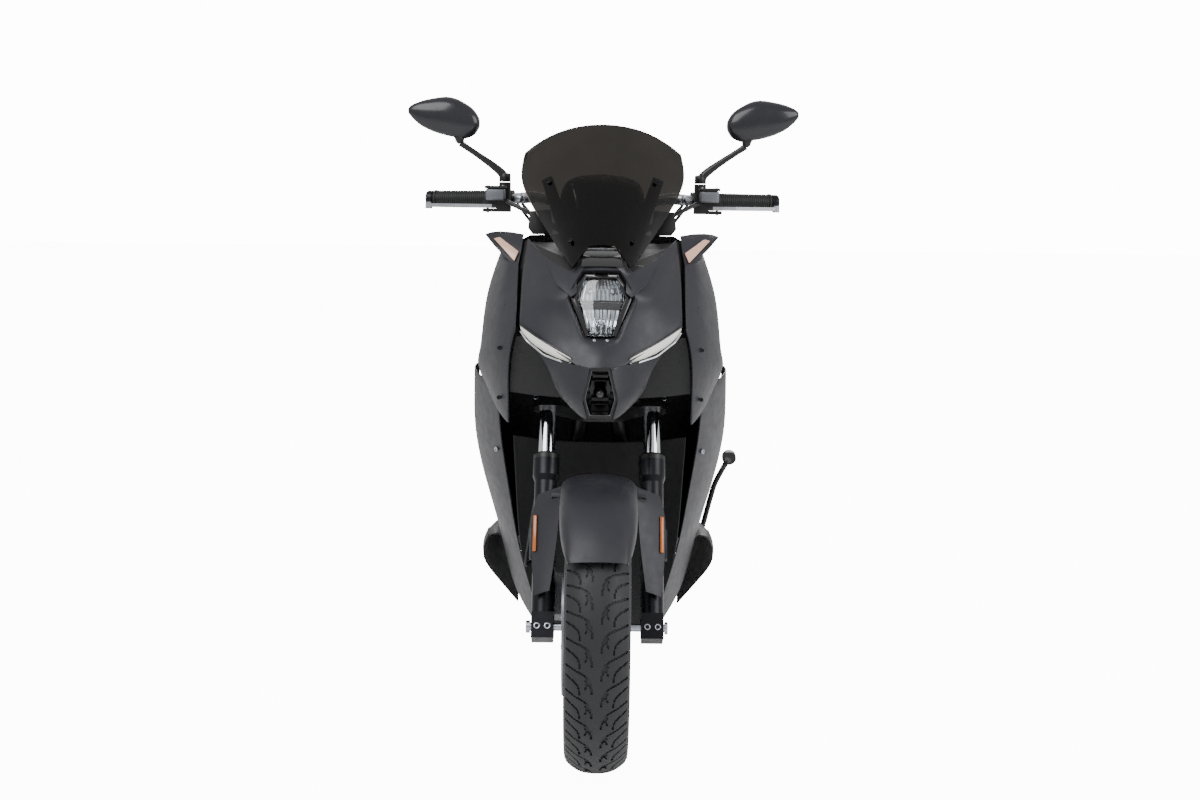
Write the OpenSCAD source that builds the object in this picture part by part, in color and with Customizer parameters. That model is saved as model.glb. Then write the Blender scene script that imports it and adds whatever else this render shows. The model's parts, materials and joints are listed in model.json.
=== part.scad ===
// Maxi moped scooter: step-through frame, twin-leg fork, swing-unit engine.
// +X is the rider's left, -Y is forward, +Z is up; z = 0 is the ground.

/* [Wheels] */
// Distance between the two axles
wheelbase = 1370; // [1140:1:1650]
// Outer radius of the front tyre
front_tyre_r = 274; // [262:1:290]
// Section width of the front tyre
front_tyre_w = 120; // [100:1:130]
// Bead seat radius of the front rim
front_rim_r = 190; // [180:1:200]
// Outer radius of the rear tyre
rear_tyre_r = 276; // [264:1:290]
// Section width of the rear tyre
rear_tyre_w = 138; // [120:1:142]
// Bead seat radius of the rear rim
rear_rim_r = 178; // [168:1:188]
// Diameter of the front axle
axle_d = 15; // [12:0.5:18]
// Diameter of the rear axle
rear_axle_d = 17; // [14:0.5:20]
// Outer radius of the front brake disc
disc_r = 130; // [108:1:140]

/* [Fork and steering] */
// Angle of the steering axis from the vertical
rake = 27; // [24:0.5:29]
// Trail on the ground
trail = 95; // [80:1:110]
// Spacing of each fork leg from the middle plane
fork_x = 105; // [102:1:112]
// Diameter of the chromed stanchions
stanchion_d = 35; // [30:0.5:42]
// Wall between stanchion and slider's outside
slider_wall = 5; // [4:0.5:6]
// Front suspension travel
fork_travel = 80; // [60:1:95]
// Diameter of the handlebar
bar_d = 22.2; // [19:0.2:26]
// Distance between the handlebar's ends
bar_w = 748; // [700:1:800]
// Outer diameter of the rubber grips
grip_d = 33; // [31:0.5:37]

/* [Body] */
// Greatest width of the bodywork
body_w = 544; // [450:1:650]
// Height of the seat
seat_h = 765; // [720:1:820]
// Wall of the moulded panels
panel_t = 3; // [2:0.5:4]
// Thickness of the windscreen
screen_t = 4; // [3:0.5:5]
// Travel of the windscreen up its guides
screen_travel = 80; // [40:1:90]

/* [Running gear] */
// Outer diameter of the frame's main tubes
tube_d = 36; // [30:1:42]
// Diameter of the swing unit's pivot bolt
pivot_d = 14; // [12:0.5:16]
// Rotation of the swing unit from top-out to bump stop
swing_deg = 9; // [5:0.5:10]
// Diameter of the centre stand's tubes
stand_d = 24; // [20:1:28]
// Running clearance between a shaft and its bore, on the radius
run_gap = 0.06; // [0.02:0.01:0.1]
// Air gap between pieces of different bodies
air = 1.5; // [1:0.1:3]

/* [Hidden] */
$fn = 48;

// The bodywork is drawn for these sizes and stretched to the ones above.
drawn_wheelbase = 1370;
drawn_body_w = 544;
drawn_seat_h = 765;
drawn_tyre_r = 274;
kx = body_w / drawn_body_w;
kz = seat_h / drawn_seat_h;
lift = front_tyre_r - drawn_tyre_r;
function bx(x) = x * kx;
// Ahead of y = -240 everything moves with the front axle, and behind y = 330 with the rear one.
function by(y) = lookup(y, [[-3000, front_shift - 3000], [-240, front_shift - 240], [330, 330 + rear_shift],
    [3000, 3000 + rear_shift]]);
function bz(z) = z * kz + lift;
function bp(p) = [bx(p[0]), by(p[1]), bz(p[2])];
function bgrid(g) = [for (row = g) [for (p = row) bp(p)]];

front_axle_y = -705 * wheelbase / drawn_wheelbase;
rear_axle_y = front_axle_y + wheelbase;
front_shift = front_axle_y + 705;
rear_shift = rear_axle_y + 705 - drawn_wheelbase;
rear_axle_z = rear_tyre_r;
// Steering frame: its origin is the front axle and its z axis runs up the fork legs.
fork_offset = front_tyre_r * sin(rake) - trail * cos(rake);
crown_z = (bz(667) - front_tyre_r) / cos(rake);
crown_t = 34;
slider_top_z = crown_z - fork_travel - 26;
slider_d = stanchion_d + 2 * slider_wall;
seal_d = slider_d + 8;
axle_out = fork_x + slider_d / 2 + air;
head_low_z = crown_z + crown_t + 8;
head_len = 150;
head_d = 56;
stem_d = 30;
bar_mid = on_axis(bz(1040));
stem_top = (bar_mid[1] - front_axle_y) * sin(rake) + (bar_mid[2] - front_tyre_r) * cos(rake);
grip_out = [bar_w / 2 - 16, bar_mid[1] + 32, bar_mid[2] + 46];
grip_dir = unit([0.968, 0.25, -0.014]);
grip_in = grip_out - 124 * grip_dir;
straight_in = grip_out - 192 * grip_dir;
// A point on the steering axis at height z.
function on_axis(z) = [0, front_axle_y + fork_offset / cos(rake) + (z - front_tyre_r) * tan(rake), z];
swing_pivot = [by(215), bz(262)];
stand_pivot = [by(318), bz(140)];
shock_y = rear_axle_y + 25;
shock_low_z = rear_axle_z + 72;
shock_high_z = bz(622);
shock_x = bx(128);

// ---------- helpers ----------
function flat(g) = [for (row = g) each row];
function spline(a, b, c, d, t) = 0.5 * (2 * b + (c - a) * t + (2 * a - 5 * b + 4 * c - d) * t * t
    + (3 * b - a - 3 * c + d) * t * t * t);
function smooth(p, n) = let (e = len(p) - 1) [for (i = [0 : e - 1]) for (k = [0 : n - 1])
    spline(p[max(i - 1, 0)], p[i], p[i + 1], p[min(i + 2, e)], k / n), p[e]];
function turned(g) = [for (j = [0 : len(g[0]) - 1]) [for (i = [0 : len(g) - 1]) g[i][j]]];
function fine(g, n, m) = turned([for (col = turned([for (row = g) smooth(row, m)])) smooth(col, n)]);
function unit(v) = v / max(norm(v), 1e-9);
function flip(p, s) = [p[0] * s[0], p[1] * s[1], p[2] * s[2]];
function flipped(g) = [for (row = g) [for (j = [len(row) - 1 : -1 : 0]) row[j]]];
function mirrored(g) = [for (row = g) concat(
    [for (j = [len(row) - 1 : -1 : 1]) [-row[j][0], row[j][1], row[j][2]]], row)];
function normal_at(g, i, j) = let (r = len(g) - 1, c = len(g[0]) - 1) unit(cross(
    g[min(i + 1, r)][j] - g[max(i - 1, 0)][j], g[i][min(j + 1, c)] - g[i][max(j - 1, 0)]));
function quad(a, b, c, d) = [[a, b, c], [a, c, d]];

// A panel: the outer skin is the grid g, smoothed n and m times, and it is t thick inwards.
module panel(g, t, n = 2, m = 2) {
    o = fine(g, n, m);
    rows = len(o);
    cols = len(o[0]);
    inner = [for (i = [0 : rows - 1]) [for (j = [0 : cols - 1]) o[i][j] - t * normal_at(o, i, j)]];
    k = rows * cols;
    skin = [for (i = [0 : rows - 2]) for (j = [0 : cols - 2]) let (a = i * cols + j)
        each concat(quad(a, a + 1, a + cols + 1, a + cols),
            quad(k + a, k + a + cols, k + a + cols + 1, k + a + 1))];
    ends = [for (j = [0 : cols - 2]) let (a = j, b = (rows - 1) * cols + j)
        each concat(quad(a + 1, a, k + a, k + a + 1), quad(b, b + 1, k + b + 1, k + b))];
    sides = [for (i = [0 : rows - 2]) let (a = i * cols, b = a + cols - 1)
        each concat(quad(a, a + cols, k + a + cols, k + a), quad(b + cols, b, k + b, k + b + cols))];
    polyhedron(concat(flat(o), flat(inner)), concat(skin, ends, sides));
}

// A panel round an opening: each ray runs from the outline to the opening, half the rays are
// given (from the top down the +X side) and the rest are their mirror images.
module ring_panel(rays, t, n = 2) {
    last = len(rays) - 1;
    all = concat(rays, [for (i = [last - 1 : -1 : 1]) [for (p = rays[i]) [-p[0], p[1], p[2]]]]);
    o = turned([for (ray = all) smooth(ray, n)]);
    rows = len(o);
    c = len(o[0]);
    function side(i, j) = unit(cross(o[min(i + 1, rows - 1)][j] - o[max(i - 1, 0)][j],
        o[i][(j + 1) % c] - o[i][(j + c - 1) % c]));
    inner = [for (i = [0 : rows - 1]) [for (j = [0 : c - 1]) o[i][j] - t * side(i, j)]];
    k = rows * c;
    skin = [for (i = [0 : rows - 2]) for (j = [0 : c - 1]) let (a = i * c + j, b = i * c + (j + 1) % c)
        each concat(quad(a, b, b + c, a + c), quad(k + a, k + a + c, k + b + c, k + b))];
    rims = [for (j = [0 : c - 1]) let (a = j, b = (j + 1) % c, d = (rows - 1) * c)
        each concat(quad(b, a, k + a, k + b), quad(d + a, d + b, k + d + b, k + d + a))];
    polyhedron(concat(flat(o), flat(inner)), concat(skin, rims));
}

// A solid through closed rings of points, smoothed n times along its length.
module loft(rings, n = 1) {
    s = n > 1 ? fine(rings, n, 1) : rings;
    rows = len(s);
    c = len(s[0]);
    wall = [for (i = [0 : rows - 2]) for (j = [0 : c - 1]) let (a = i * c + j, b = i * c + (j + 1) % c)
        each quad(a, b, b + c, a + c)];
    caps = [for (j = [1 : c - 2]) each [[0, j + 1, j], [(rows - 1) * c, (rows - 1) * c + j,
        (rows - 1) * c + j + 1]]];
    polyhedron(flat(s), concat(wall, caps));
}

// A rounded ring across the y axis: centre (x, z), half width w, half height h, squareness q.
function power(v, q) = sign(v) * pow(abs(v), q);
function ring(y, x, z, w, h, q = 1, sides = 16) = [for (k = [0 : sides - 1])
    [x + w * power(cos(k * 360 / sides), q), y, z + h * power(sin(k * 360 / sides), q)]];

// A swept round tube along a hand-set route, drawn with few sides.
function tangent(p, i) = unit(p[min(i + 1, len(p) - 1)] - p[max(i - 1, 0)]);
function side_of(t) = abs(t[2]) > 0.95 ? [1, 0, 0] : [0, 0, 1];
function loop_of(p, t, up, r, sides) = let (u = unit(cross(t, up)), v = cross(t, u))
    [for (k = [0 : sides - 1]) p + r * (cos(k * 360 / sides) * u - sin(k * 360 / sides) * v)];
module swept(route, d, sides = 10, n = 3, up = undef) {
    p = smooth(route, n);
    ref = is_undef(up) ? side_of(unit(p[len(p) - 1] - p[0])) : up;
    loft([for (i = [0 : len(p) - 1]) loop_of(p[i], tangent(p, i), ref, d / 2, sides)]);
}

module rod(a, b, d) {
    v = b - a;
    translate(a) rotate([0, acos(v[2] / norm(v)), atan2(v[1], v[0])]) cylinder(h = norm(v), d = d);
}
module cross_pin(x0, x1, d) { translate([x0, 0, 0]) rotate([0, 90, 0]) cylinder(h = x1 - x0, d = d); }
module pair() { children(); mirror([1, 0, 0]) children(); }
module on_fork() { translate([0, front_axle_y, front_tyre_r]) rotate([-rake, 0, 0]) children(); }
module at_front_axle() { translate([0, front_axle_y, front_tyre_r]) children(); }
module at_rear_axle() { translate([0, rear_axle_y, rear_axle_z]) children(); }
module at_pivot() { translate([0, swing_pivot[0], swing_pivot[1]]) children(); }
// An outline in the (y, z) plane, extruded from x0 to x1.
module slab(x0, x1, outline) {
    translate([x0, 0, 0]) rotate([90, 0, 90]) linear_extrude(x1 - x0) polygon(outline);
}
// An outline in the (x, z) plane, extruded from y0 to y1.
module face(y0, y1, outline) {
    translate([0, y1, 0]) rotate([90, 0, 0]) linear_extrude(y1 - y0) polygon(outline);
}
function by2(p) = [for (q = p) [by(q[0]), bz(q[1])]];
function bx2(p) = [for (q = p) [bx(q[0]), bz(q[1])]];
function both_sides(p) = concat(p, [for (i = [len(p) - 1 : -1 : 0]) [-p[i][0], p[i][1]]]);

// ---------- frame ----------
under_rail = [[24, -408, 765], [40, -378, 620], [75, -348, 430], [95, -325, 225], [95, -270, 172],
    [95, 60, 168], [95, 345, 178]];
seat_rail = [[95, 0, 174], [106, 30, 400], [116, 180, 560], [120, 420, 602], [106, 830, 680]];
function route(p, s = 1) = [for (q = p) flip(bp(q), [s, 1, 1])];
module main_frame() color("#1d1e20") difference() {
    union() {
        on_fork() translate([0, fork_offset, head_low_z]) cylinder(h = head_len, d = head_d);
        for (s = [-1, 1]) {
            swept(route(under_rail, s), tube_d, 10, 1, [1, 0, 0]);
            swept(route(seat_rail, s), tube_d * 0.8, 10, 1, [1, 0, 0]);
        }
        for (t = [[95, -270, 172], [95, 60, 168], [119, 470, 613], [106, 830, 680]])
            rod(flip(bp(t), [-1, 1, 1]), bp(t), tube_d * 0.7, $fn = 16);
        pair() {
            slab(bx(100), bx(112), [for (p = [[-35, -95], [-22, 20], [0, 36], [22, 20], [35, -88]])
                swing_pivot + p]);
            slab(bx(86), bx(96), concat([for (a = [-165 : 30 : -15]) stand_pivot + 22 * [cos(a), sin(a)]],
                [stand_pivot + [26, 46], stand_pivot + [-26, 46]]));
            slab(bx(102), bx(111), [[shock_y - 16, shock_high_z - 16], [shock_y + 16, shock_high_z - 16],
                [shock_y + 22, shock_high_z + 24], [shock_y - 22, shock_high_z + 24]]);
            translate([0, shock_y, shock_high_z]) cross_pin(bx(105), shock_x + 17, 12);
            slab(bx(122), bx(130), by2([[318, 418], [346, 418], [352, 596], [318, 592]]));
            translate([bx(124), by(332) - 13, bz(430) - 19]) cube([bx(52), 26, 8]);
            translate([bx(124), by(332) - 13, bz(430) + 11]) cube([bx(52), 26, 8]);
        }
        at_pivot() cross_pin(-bx(116), bx(116), pivot_d);
        translate([bx(108), by(58) - 17, bz(168) - 17]) cube([bx(22), 34, 30]);
        translate([0, by(58), bz(168) - 1]) cross_pin(bx(118), bx(154), 12);
        translate([0, by(58), bz(168) - 1]) cross_pin(bx(148), bx(154), 22);
    }
    on_fork() translate([0, fork_offset, head_low_z - 1])
        cylinder(h = head_len + 2, d = stem_d + 2 * run_gap);
    translate([0, stand_pivot[0], stand_pivot[1]]) cross_pin(-bx(140), bx(140), stand_d + 2 * run_gap);
    pair() translate([bx(163), by(332), bz(430) - 25]) cylinder(h = 50, d = 8 + 2 * run_gap);
}
main_frame();

// ---------- nose ----------
nose_rays = [
    [[0, -610, 988], [0, -640, 969], [0, -672, 957], [0, -655, 950]],
    [[24, -609, 988], [21, -640, 969], [20, -671, 957], [20, -655, 950]],
    [[42, -622, 975], [38, -648, 961], [36, -670, 956], [33, -655, 949]],
    [[58, -645, 950], [54, -658, 944], [46, -674, 942], [42, -658, 936]],
    [[98, -600, 968], [78, -648, 940], [55, -680, 926], [51, -662, 922]],
    [[126, -545, 990], [96, -650, 922], [61, -684, 914], [57, -665, 912]],
    [[148, -496, 1012], [112, -650, 912], [66, -686, 903], [61, -668, 904]],
    [[156, -547, 955], [114, -654, 896], [62, -688, 890], [57, -672, 892]],
    [[156, -602, 900], [111, -664, 873], [56, -691, 873], [51, -677, 878]],
    [[157, -638, 850], [105, -678, 849], [48, -696, 856], [43, -683, 862]],
    [[113, -682, 820], [80, -694, 826], [41, -702, 839], [36, -689, 847]],
    [[58, -718, 790], [48, -714, 801], [31, -708, 822], [29, -695, 832]],
    [[31, -738, 772], [18, -730, 796], [14, -712, 819], [14, -697, 829]],
    [[0, -746, 772], [0, -734, 796], [0, -714, 818], [0, -698, 829]]];
cheek_rows = [
    [[20, -744, 779], [45, -730, 781], [72, -706, 786], [98, -680, 796], [120, -658, 799]],
    [[26, -746, 750], [44, -732, 752], [64, -712, 756], [84, -692, 760], [98, -678, 768]],
    [[34, -747, 720], [46, -735, 722], [62, -716, 726], [78, -694, 732], [88, -672, 738]],
    [[30, -746, 700], [40, -736, 701], [54, -718, 704], [66, -698, 708], [74, -672, 713]],
    [[25, -744, 682], [30, -738, 683], [36, -728, 685], [42, -712, 687], [46, -698, 690]]];
module nose_cowl() color("#3a3a42") {
    ring_panel(bgrid(nose_rays), panel_t, 2);
    pair() panel(bgrid(cheek_rows), panel_t, 2, 1);
}
nose_cowl();

duct = [[-18, 779], [18, 779], [32, 720], [22, 684], [-22, 684], [-32, 720]];
function hex_ring(y, p, s, c = 727) = [for (q = p) bp([q[0] * s, y, c + (q[1] - c) * s])];
module nose_duct() color("#232325") difference() {
    loft([hex_ring(-612, duct, 0.8), hex_ring(-700, duct, 1), hex_ring(-744, duct, 1)]);
    loft([hex_ring(-624, duct, 0.64), hex_ring(-700, duct, 0.86), hex_ring(-750, duct, 0.88)]);
}
nose_duct();

lamp = [[-31, 948], [-46, 926], [-60, 905], [-44, 866], [-28, 831], [28, 831], [44, 866], [60, 905],
    [46, 926], [31, 948]];
module headlight_housing() color("#9a9da3") difference() {
    loft([hex_ring(-668, lamp, 0.93, 890), hex_ring(-620, lamp, 0.95, 890), hex_ring(-560, lamp, 0.7, 890)]);
    loft([hex_ring(-705, lamp, 0.92, 890), hex_ring(-630, lamp, 0.86, 890), hex_ring(-575, lamp, 0.5, 890)]);
}
headlight_housing();

lens_rows = [[[0, -664, 945], [29, -657, 945]], [[0, -680, 904], [56, -669, 903]],
    [[0, -702, 834], [26, -696, 834]]];
module headlight_lens() color("#dfe6ea") panel(mirrored(bgrid(lens_rows)), 3, 2, 2);
headlight_lens();

glow_rows = [[[155, -642, 846], [154, -639, 840]], [[148, -650, 843], [142, -644, 822]],
    [[113, -685, 822], [107, -678, 798]], [[64, -716, 799], [60, -709, 785]], [[55, -721, 793], [54, -716, 789]]];
module position_lights() color("#f2f2ee") pair()
    loft([for (g = glow_rows) [bp(g[0]), bp(g[1]), bp(g[1] + [0, 28, 0]), bp(g[0] + [0, 28, 0])]], 1);
position_lights();

// ---------- front fairings ----------
fairing_rows = [
    [[164, -530, 962], [184, -512, 966], [203, -455, 972], [208, -400, 980], [200, -345, 985]],
    [[164, -566, 930], [192, -530, 932], [215, -460, 934], [224, -400, 936], [220, -338, 936]],
    [[164, -600, 892], [198, -550, 893], [226, -468, 894], [236, -400, 894], [236, -335, 894]],
    [[165, -630, 842], [204, -572, 843], [235, -475, 842], [243, -400, 842], [245, -335, 842]],
    [[178, -622, 795], [210, -570, 796], [240, -474, 797], [246, -402, 797], [249, -338, 795]],
    [[181, -606, 735], [212, -556, 738], [244, -470, 742], [254, -405, 750], [258, -345, 756]],
    [[180, -583, 650], [203, -536, 668], [232, -440, 704], [248, -382, 724], [258, -345, 746]]];
module front_fairings() color("#3a3a42") pair() panel(bgrid(fairing_rows), panel_t, 1, 2);
front_fairings();

module front_signals() color("#e9b9a0") pair() loft([
    [bp([238, -455, 1017]), bp([212, -446, 1025]), bp([154, -478, 1020]), bp([163, -530, 953]), bp([198, -500, 975])],
    [bp([236, -430, 1018]), bp([212, -405, 1024]), bp([160, -440, 1018]), bp([172, -480, 960]), bp([198, -455, 980])]], 1);
front_signals();

shield_rows = [
    [[206, -520, 716], [236, -455, 722], [262, -372, 734], [266, -300, 738], [262, -268, 738]],
    [[204, -500, 655], [234, -440, 658], [264, -345, 664], [270, -268, 664], [265, -226, 664]],
    [[200, -470, 590], [232, -412, 592], [265, -318, 596], [271, -238, 598], [267, -196, 598]],
    [[189, -432, 510], [222, -375, 512], [253, -280, 514], [259, -200, 516], [256, -165, 516]],
    [[179, -410, 432], [206, -350, 434], [232, -255, 434], [240, -180, 436], [238, -148, 436]],
    [[167, -392, 360], [188, -335, 360], [212, -240, 362], [222, -168, 364], [222, -138, 364]],
    [[150, -370, 290], [168, -318, 290], [194, -232, 292], [208, -168, 300], [212, -138, 306]],
    [[128, -340, 210], [146, -292, 206], [168, -224, 206], [186, -172, 214], [192, -138, 228]],
    [[112, -318, 162], [128, -280, 158], [140, -220, 156], [148, -176, 158], [154, -138, 165]]];
module leg_shields() color("#3a3a42") pair() panel(bgrid(shield_rows), panel_t, 1, 2);
leg_shields();

inner_rays = [
    [[0, -236, 930], [0, -258, 880], [0, -268, 858]],
    [[90, -242, 932], [84, -262, 882], [84, -270, 858]],
    [[194, -335, 969], [140, -285, 870], [96, -272, 846]],
    [[234, -338, 850], [150, -290, 800], [96, -272, 790]],
    [[256, -300, 700], [150, -288, 720], [96, -270, 728]],
    [[258, -215, 590], [130, -272, 650], [88, -268, 706]],
    [[230, -160, 430], [70, -262, 600], [44, -266, 704]],
    [[202, -150, 305], [30, -262, 590], [22, -266, 704]],
    [[0, -250, 560], [0, -262, 600], [0, -266, 704]]];
module inner_shield() color("#26272a") {
    mirror([0, 1, 0]) ring_panel([for (ray = inner_rays) [for (p = ray) flip(bp(p), [1, -1, 1])]],
        panel_t, 2);
    difference() {
        translate([-bx(99), by(-336), bz(701)]) cube([bx(198), by(66), bz(162)]);
        translate([-bx(96), by(-333), bz(704)]) cube([bx(192), by(74), bz(156)]);
    }
}
inner_shield();

module glovebox_lid() color("#2b2c30") {
    translate([-bx(92), by(-262), bz(712)]) cube([bx(184), 7, bz(142)]);
    translate([-bx(92), by(-262) + 3.5, bz(711)]) rotate([0, 90, 0]) cylinder(h = bx(184), d = 7, $fn = 24);
    translate([-bx(26), by(-262) + 6, bz(832)]) cube([bx(52), 7, 10]);
}
glovebox_lid();

floor_edge = [[134, 300, 0], [196, 299, 0], [234, 298, 42], [257, 296, 38], [268, 292, 14], [270, 282, 0], [256, 258, 0],
    [228, 226, 0], [186, 178, 0]];
floor_cols = [[-132, 0.97, 1], [-40, 1, 1], [70, 1, 0.35], [170, 0.985, 0], [250, 0.94, 0]];
floor_rows = [for (e = floor_edge) [for (c = floor_cols) [e[0] * c[1], c[0], e[1] + e[2] * c[2]]]];
module floorboards() color("#2a2b2e") pair() panel(bgrid(floor_rows), panel_t, 1, 1);
floorboards();

liner_rows = [[[0, -428, 592], [70, -428, 592], [140, -440, 600], [176, -468, 612]],
    [[0, -414, 525], [70, -414, 525], [140, -430, 535], [172, -452, 545]],
    [[0, -388, 430], [80, -388, 430], [140, -408, 432], [168, -430, 434]],
    [[0, -372, 330], [85, -372, 330], [135, -388, 330], [160, -402, 330]],
    [[0, -360, 240], [80, -360, 240], [120, -366, 240], [134, -368, 240]],
    [[0, -318, 170], [70, -318, 168], [90, -321, 168], [98, -322, 168]]];
inlet_rows = [[[0, -596, 824], [90, -612, 824], [166, -606, 826]],
    [[0, -596, 780], [90, -604, 780], [176, -600, 780]],
    [[0, -600, 700], [80, -600, 704], [180, -590, 712]]];
module fender_liner() color("#17181a") {
    panel(mirrored(bgrid(liner_rows)), panel_t, 1, 1);
    panel(mirrored(bgrid(inlet_rows)), panel_t, 1, 1);
}
fender_liner();

// ---------- dash and screen ----------
cover_rays = [
    [[0, -440, 1012], [0, -390, 1000], [0, -348, 990]],
    [[95, -440, 1014], [50, -390, 1002], [24, -342, 988]],
    [[146, -440, 1014], [90, -370, 1003], [42, -322, 980]],
    [[198, -352, 985], [110, -320, 980], [48, -295, 972]],
    [[188, -318, 963], [100, -290, 964], [42, -266, 960]],
    [[120, -256, 944], [60, -254, 948], [24, -247, 950]],
    [[0, -238, 934], [0, -240, 942], [0, -244, 948]]];
hood_rings = [for (r = [[-545, 1000, 40, 18], [-500, 1030, 66, 42], [-450, 1062, 84, 66], [-400, 1078, 88, 62]])
    ring(by(r[0]), 0, bz(r[1]), bx(r[2]), r[3] * kz, 0.7, 16)];
module dash_cowl() color("#202124") {
    ring_panel([for (ray = cover_rays) [for (p = ray) bp(p)]], panel_t, 1);
    difference() {
        loft(hood_rings);
        translate([-bx(72), by(-410), bz(1030)]) cube([bx(144), 20, bz(92)]);
    }
}
dash_cowl();

screen_rows = [
    [[0, -428, 1231], [50, -424, 1226], [92, -415, 1214], [132, -403, 1193], [159, -400, 1171]],
    [[0, -478, 1172], [50, -474, 1168], [95, -462, 1156], [138, -440, 1138], [167, -412, 1124]],
    [[0, -525, 1110], [42, -521, 1106], [80, -512, 1096], [116, -490, 1082], [150, -440, 1078]],
    [[0, -572, 1050], [34, -568, 1046], [62, -562, 1036], [88, -548, 1022], [109, -510, 1016]],
    [[0, -614, 994], [24, -613, 991], [42, -630, 970], [54, -645, 951], [62, -632, 955]]];
module windscreen() color("#55585e", 0.5) translate([0, -10.5, 9.5]) panel(mirrored(bgrid(screen_rows)), screen_t, 2, 1);
windscreen();

strut_line = [[112, -432, 1130], [92, -484, 1076], [74, -532, 1026], [58, -574, 986]];
module screen_brackets() color("#3b3d41") pair() {
    loft([for (p = strut_line) [for (c = [[12, -1.5], [-12, -1.5], [-12, 1.5], [12, 1.5]])
        bp(p) + c[0] * [0.9, 0.1, -0.42] + c[1] * [0.351, -0.737, 0.578]]], 1);
    rod(bp([110, -434, 1124]), bp([84, -430, 1070]), 7, $fn = 12);
    rod(bp([62, -564, 998]), bp([40, -535, 1000]), 7, $fn = 12);
}
screen_brackets();

// ---------- middle and tail ----------
tunnel = [for (s = [
    [-250, [0, 530], [70, 520], [108, 470], [124, 380], [132, 302]],
    [-140, [0, 524], [72, 514], [110, 465], [125, 380], [133, 302]],
    [-30, [0, 560], [76, 548], [116, 490], [129, 390], [135, 302]],
    [50, [0, 634], [80, 620], [124, 540], [136, 410], [140, 302]],
    [112, [0, 684], [72, 676], [132, 590], [148, 450], [150, 304]]])
    [for (i = [1 : 5]) [s[i][0], s[0], s[i][1]]]];
module tunnel_cover() color("#2a2b2e") panel(flipped(mirrored(bgrid(tunnel))), panel_t, 2, 1);
tunnel_cover();

module fuel_lid() color("#34353a") translate([0, by(-85), bz(549)]) rotate([18.4, 0, 0]) {
    linear_extrude(6) polygon([for (a = [0 : 15 : 345]) [bx(48) * power(cos(a), 0.6), 62 * power(sin(a), 0.6)]]);
    translate([-bx(30), -62, 3]) rotate([0, 90, 0]) cylinder(h = bx(60), d = 8, $fn = 24);
}
fuel_lid();

module seat_tub() color("#1c1d1f") difference() {
    slab(-bx(98), bx(98), by2([[140, 693], [140, 525], [400, 525], [440, 640], [640, 652], [640, 742],
        [560, 728], [450, 697]]));
    slab(-bx(95), bx(95), by2([[143, 720], [143, 528], [398, 528], [438, 643], [637, 655], [637, 780],
        [560, 760], [450, 730]]));
}
seat_tub();

tail_rows = [
    [[84, 66, 692], [134, 150, 694], [168, 300, 694], [176, 450, 698], [168, 560, 728], [146, 700, 745],
        [104, 830, 762], [58, 915, 786]],
    [[118, 66, 640], [160, 150, 640], [190, 300, 640], [196, 450, 650], [186, 560, 682], [160, 700, 716],
        [112, 830, 745], [60, 925, 772]],
    [[140, 66, 560], [170, 150, 556], [196, 300, 554], [200, 450, 580], [188, 560, 628], [160, 700, 682],
        [110, 830, 722], [58, 925, 756]],
    [[146, 66, 474], [168, 150, 468], [184, 300, 472], [184, 450, 510], [172, 560, 578], [146, 700, 652],
        [100, 830, 704], [54, 918, 742]]];
module tail_covers() color("#3a3a42") pair() panel(bgrid(tail_rows), panel_t, 2, 1);
tail_covers();

module tail_light() color("#a01414") loft([ring(by(905), 0, bz(770), bx(50), 15, 0.6, 12),
    ring(by(930), 0, bz(768), bx(58), 20, 0.6, 12), ring(by(948), 0, bz(766), bx(44), 14, 0.6, 12)]);
tail_light();

tail_end = front_tyre_r - front_axle_y;
module rear_mudguard() color("#1b1c1e") {
    slab(-bx(75), bx(75), [[by(840), bz(742)], [by(905), bz(748)], [tail_end - 14, bz(650)],
        [tail_end, bz(470)], [tail_end - 5, bz(470)], [tail_end - 19, bz(648)], [by(900), bz(742)],
        [by(840), bz(736)]]);
    pair() {
        translate([bx(60), tail_end - 34, bz(690)]) rotate([0, 90, 0]) cylinder(h = bx(46), d = 9, $fn = 16);
        translate([bx(106), tail_end - 34, bz(690)]) sphere(d = 30, $fn = 20);
    }
}
rear_mudguard();

module grab_rail() color("#8b8e94") {
    half = [[161, 590, 712], [166, 640, 752], [160, 720, 782], [132, 830, 810], [70, 888, 824]];
    swept(concat(route(half), [bp([0, 896, 826])], route([for (i = [4 : -1 : 0]) half[i]], -1)), 22, 8, 1);
    pair() rod(bp([120, 836, 808]), bp([98, 836, 748]), 14, $fn = 12);
}
grab_rail();

function pad(y, w, lo, hi) = [for (p = [[-0.82, 0], [0.82, 0], [1, 0.12], [1, 0.5], [0.93, 0.8], [0.72, 0.95],
    [0.4, 1], [-0.4, 1], [-0.72, 0.95], [-0.93, 0.8], [-1, 0.5], [-1, 0.12]])
    bp([w * p[0], y, lo + (hi - lo) * p[1]])];
module seat_pad() loft([pad(64, 64, 701, 722), pad(92, 92, 701, 744), pad(150, 128, 701, 760),
    pad(240, 152, 701, 765), pad(340, 162, 701, 766), pad(430, 166, 704, 776), pad(480, 166, 714, 806),
    pad(540, 162, 730, 826), pad(640, 148, 745, 832), pad(740, 128, 756, 826), pad(810, 98, 764, 812),
    pad(835, 70, 770, 796)], 1);
module seat_cushion() color("#222225") {
    seat_pad();
    translate([0, by(60), bz(703)]) cross_pin(-bx(46), bx(46), 10);
}
seat_cushion();

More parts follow.
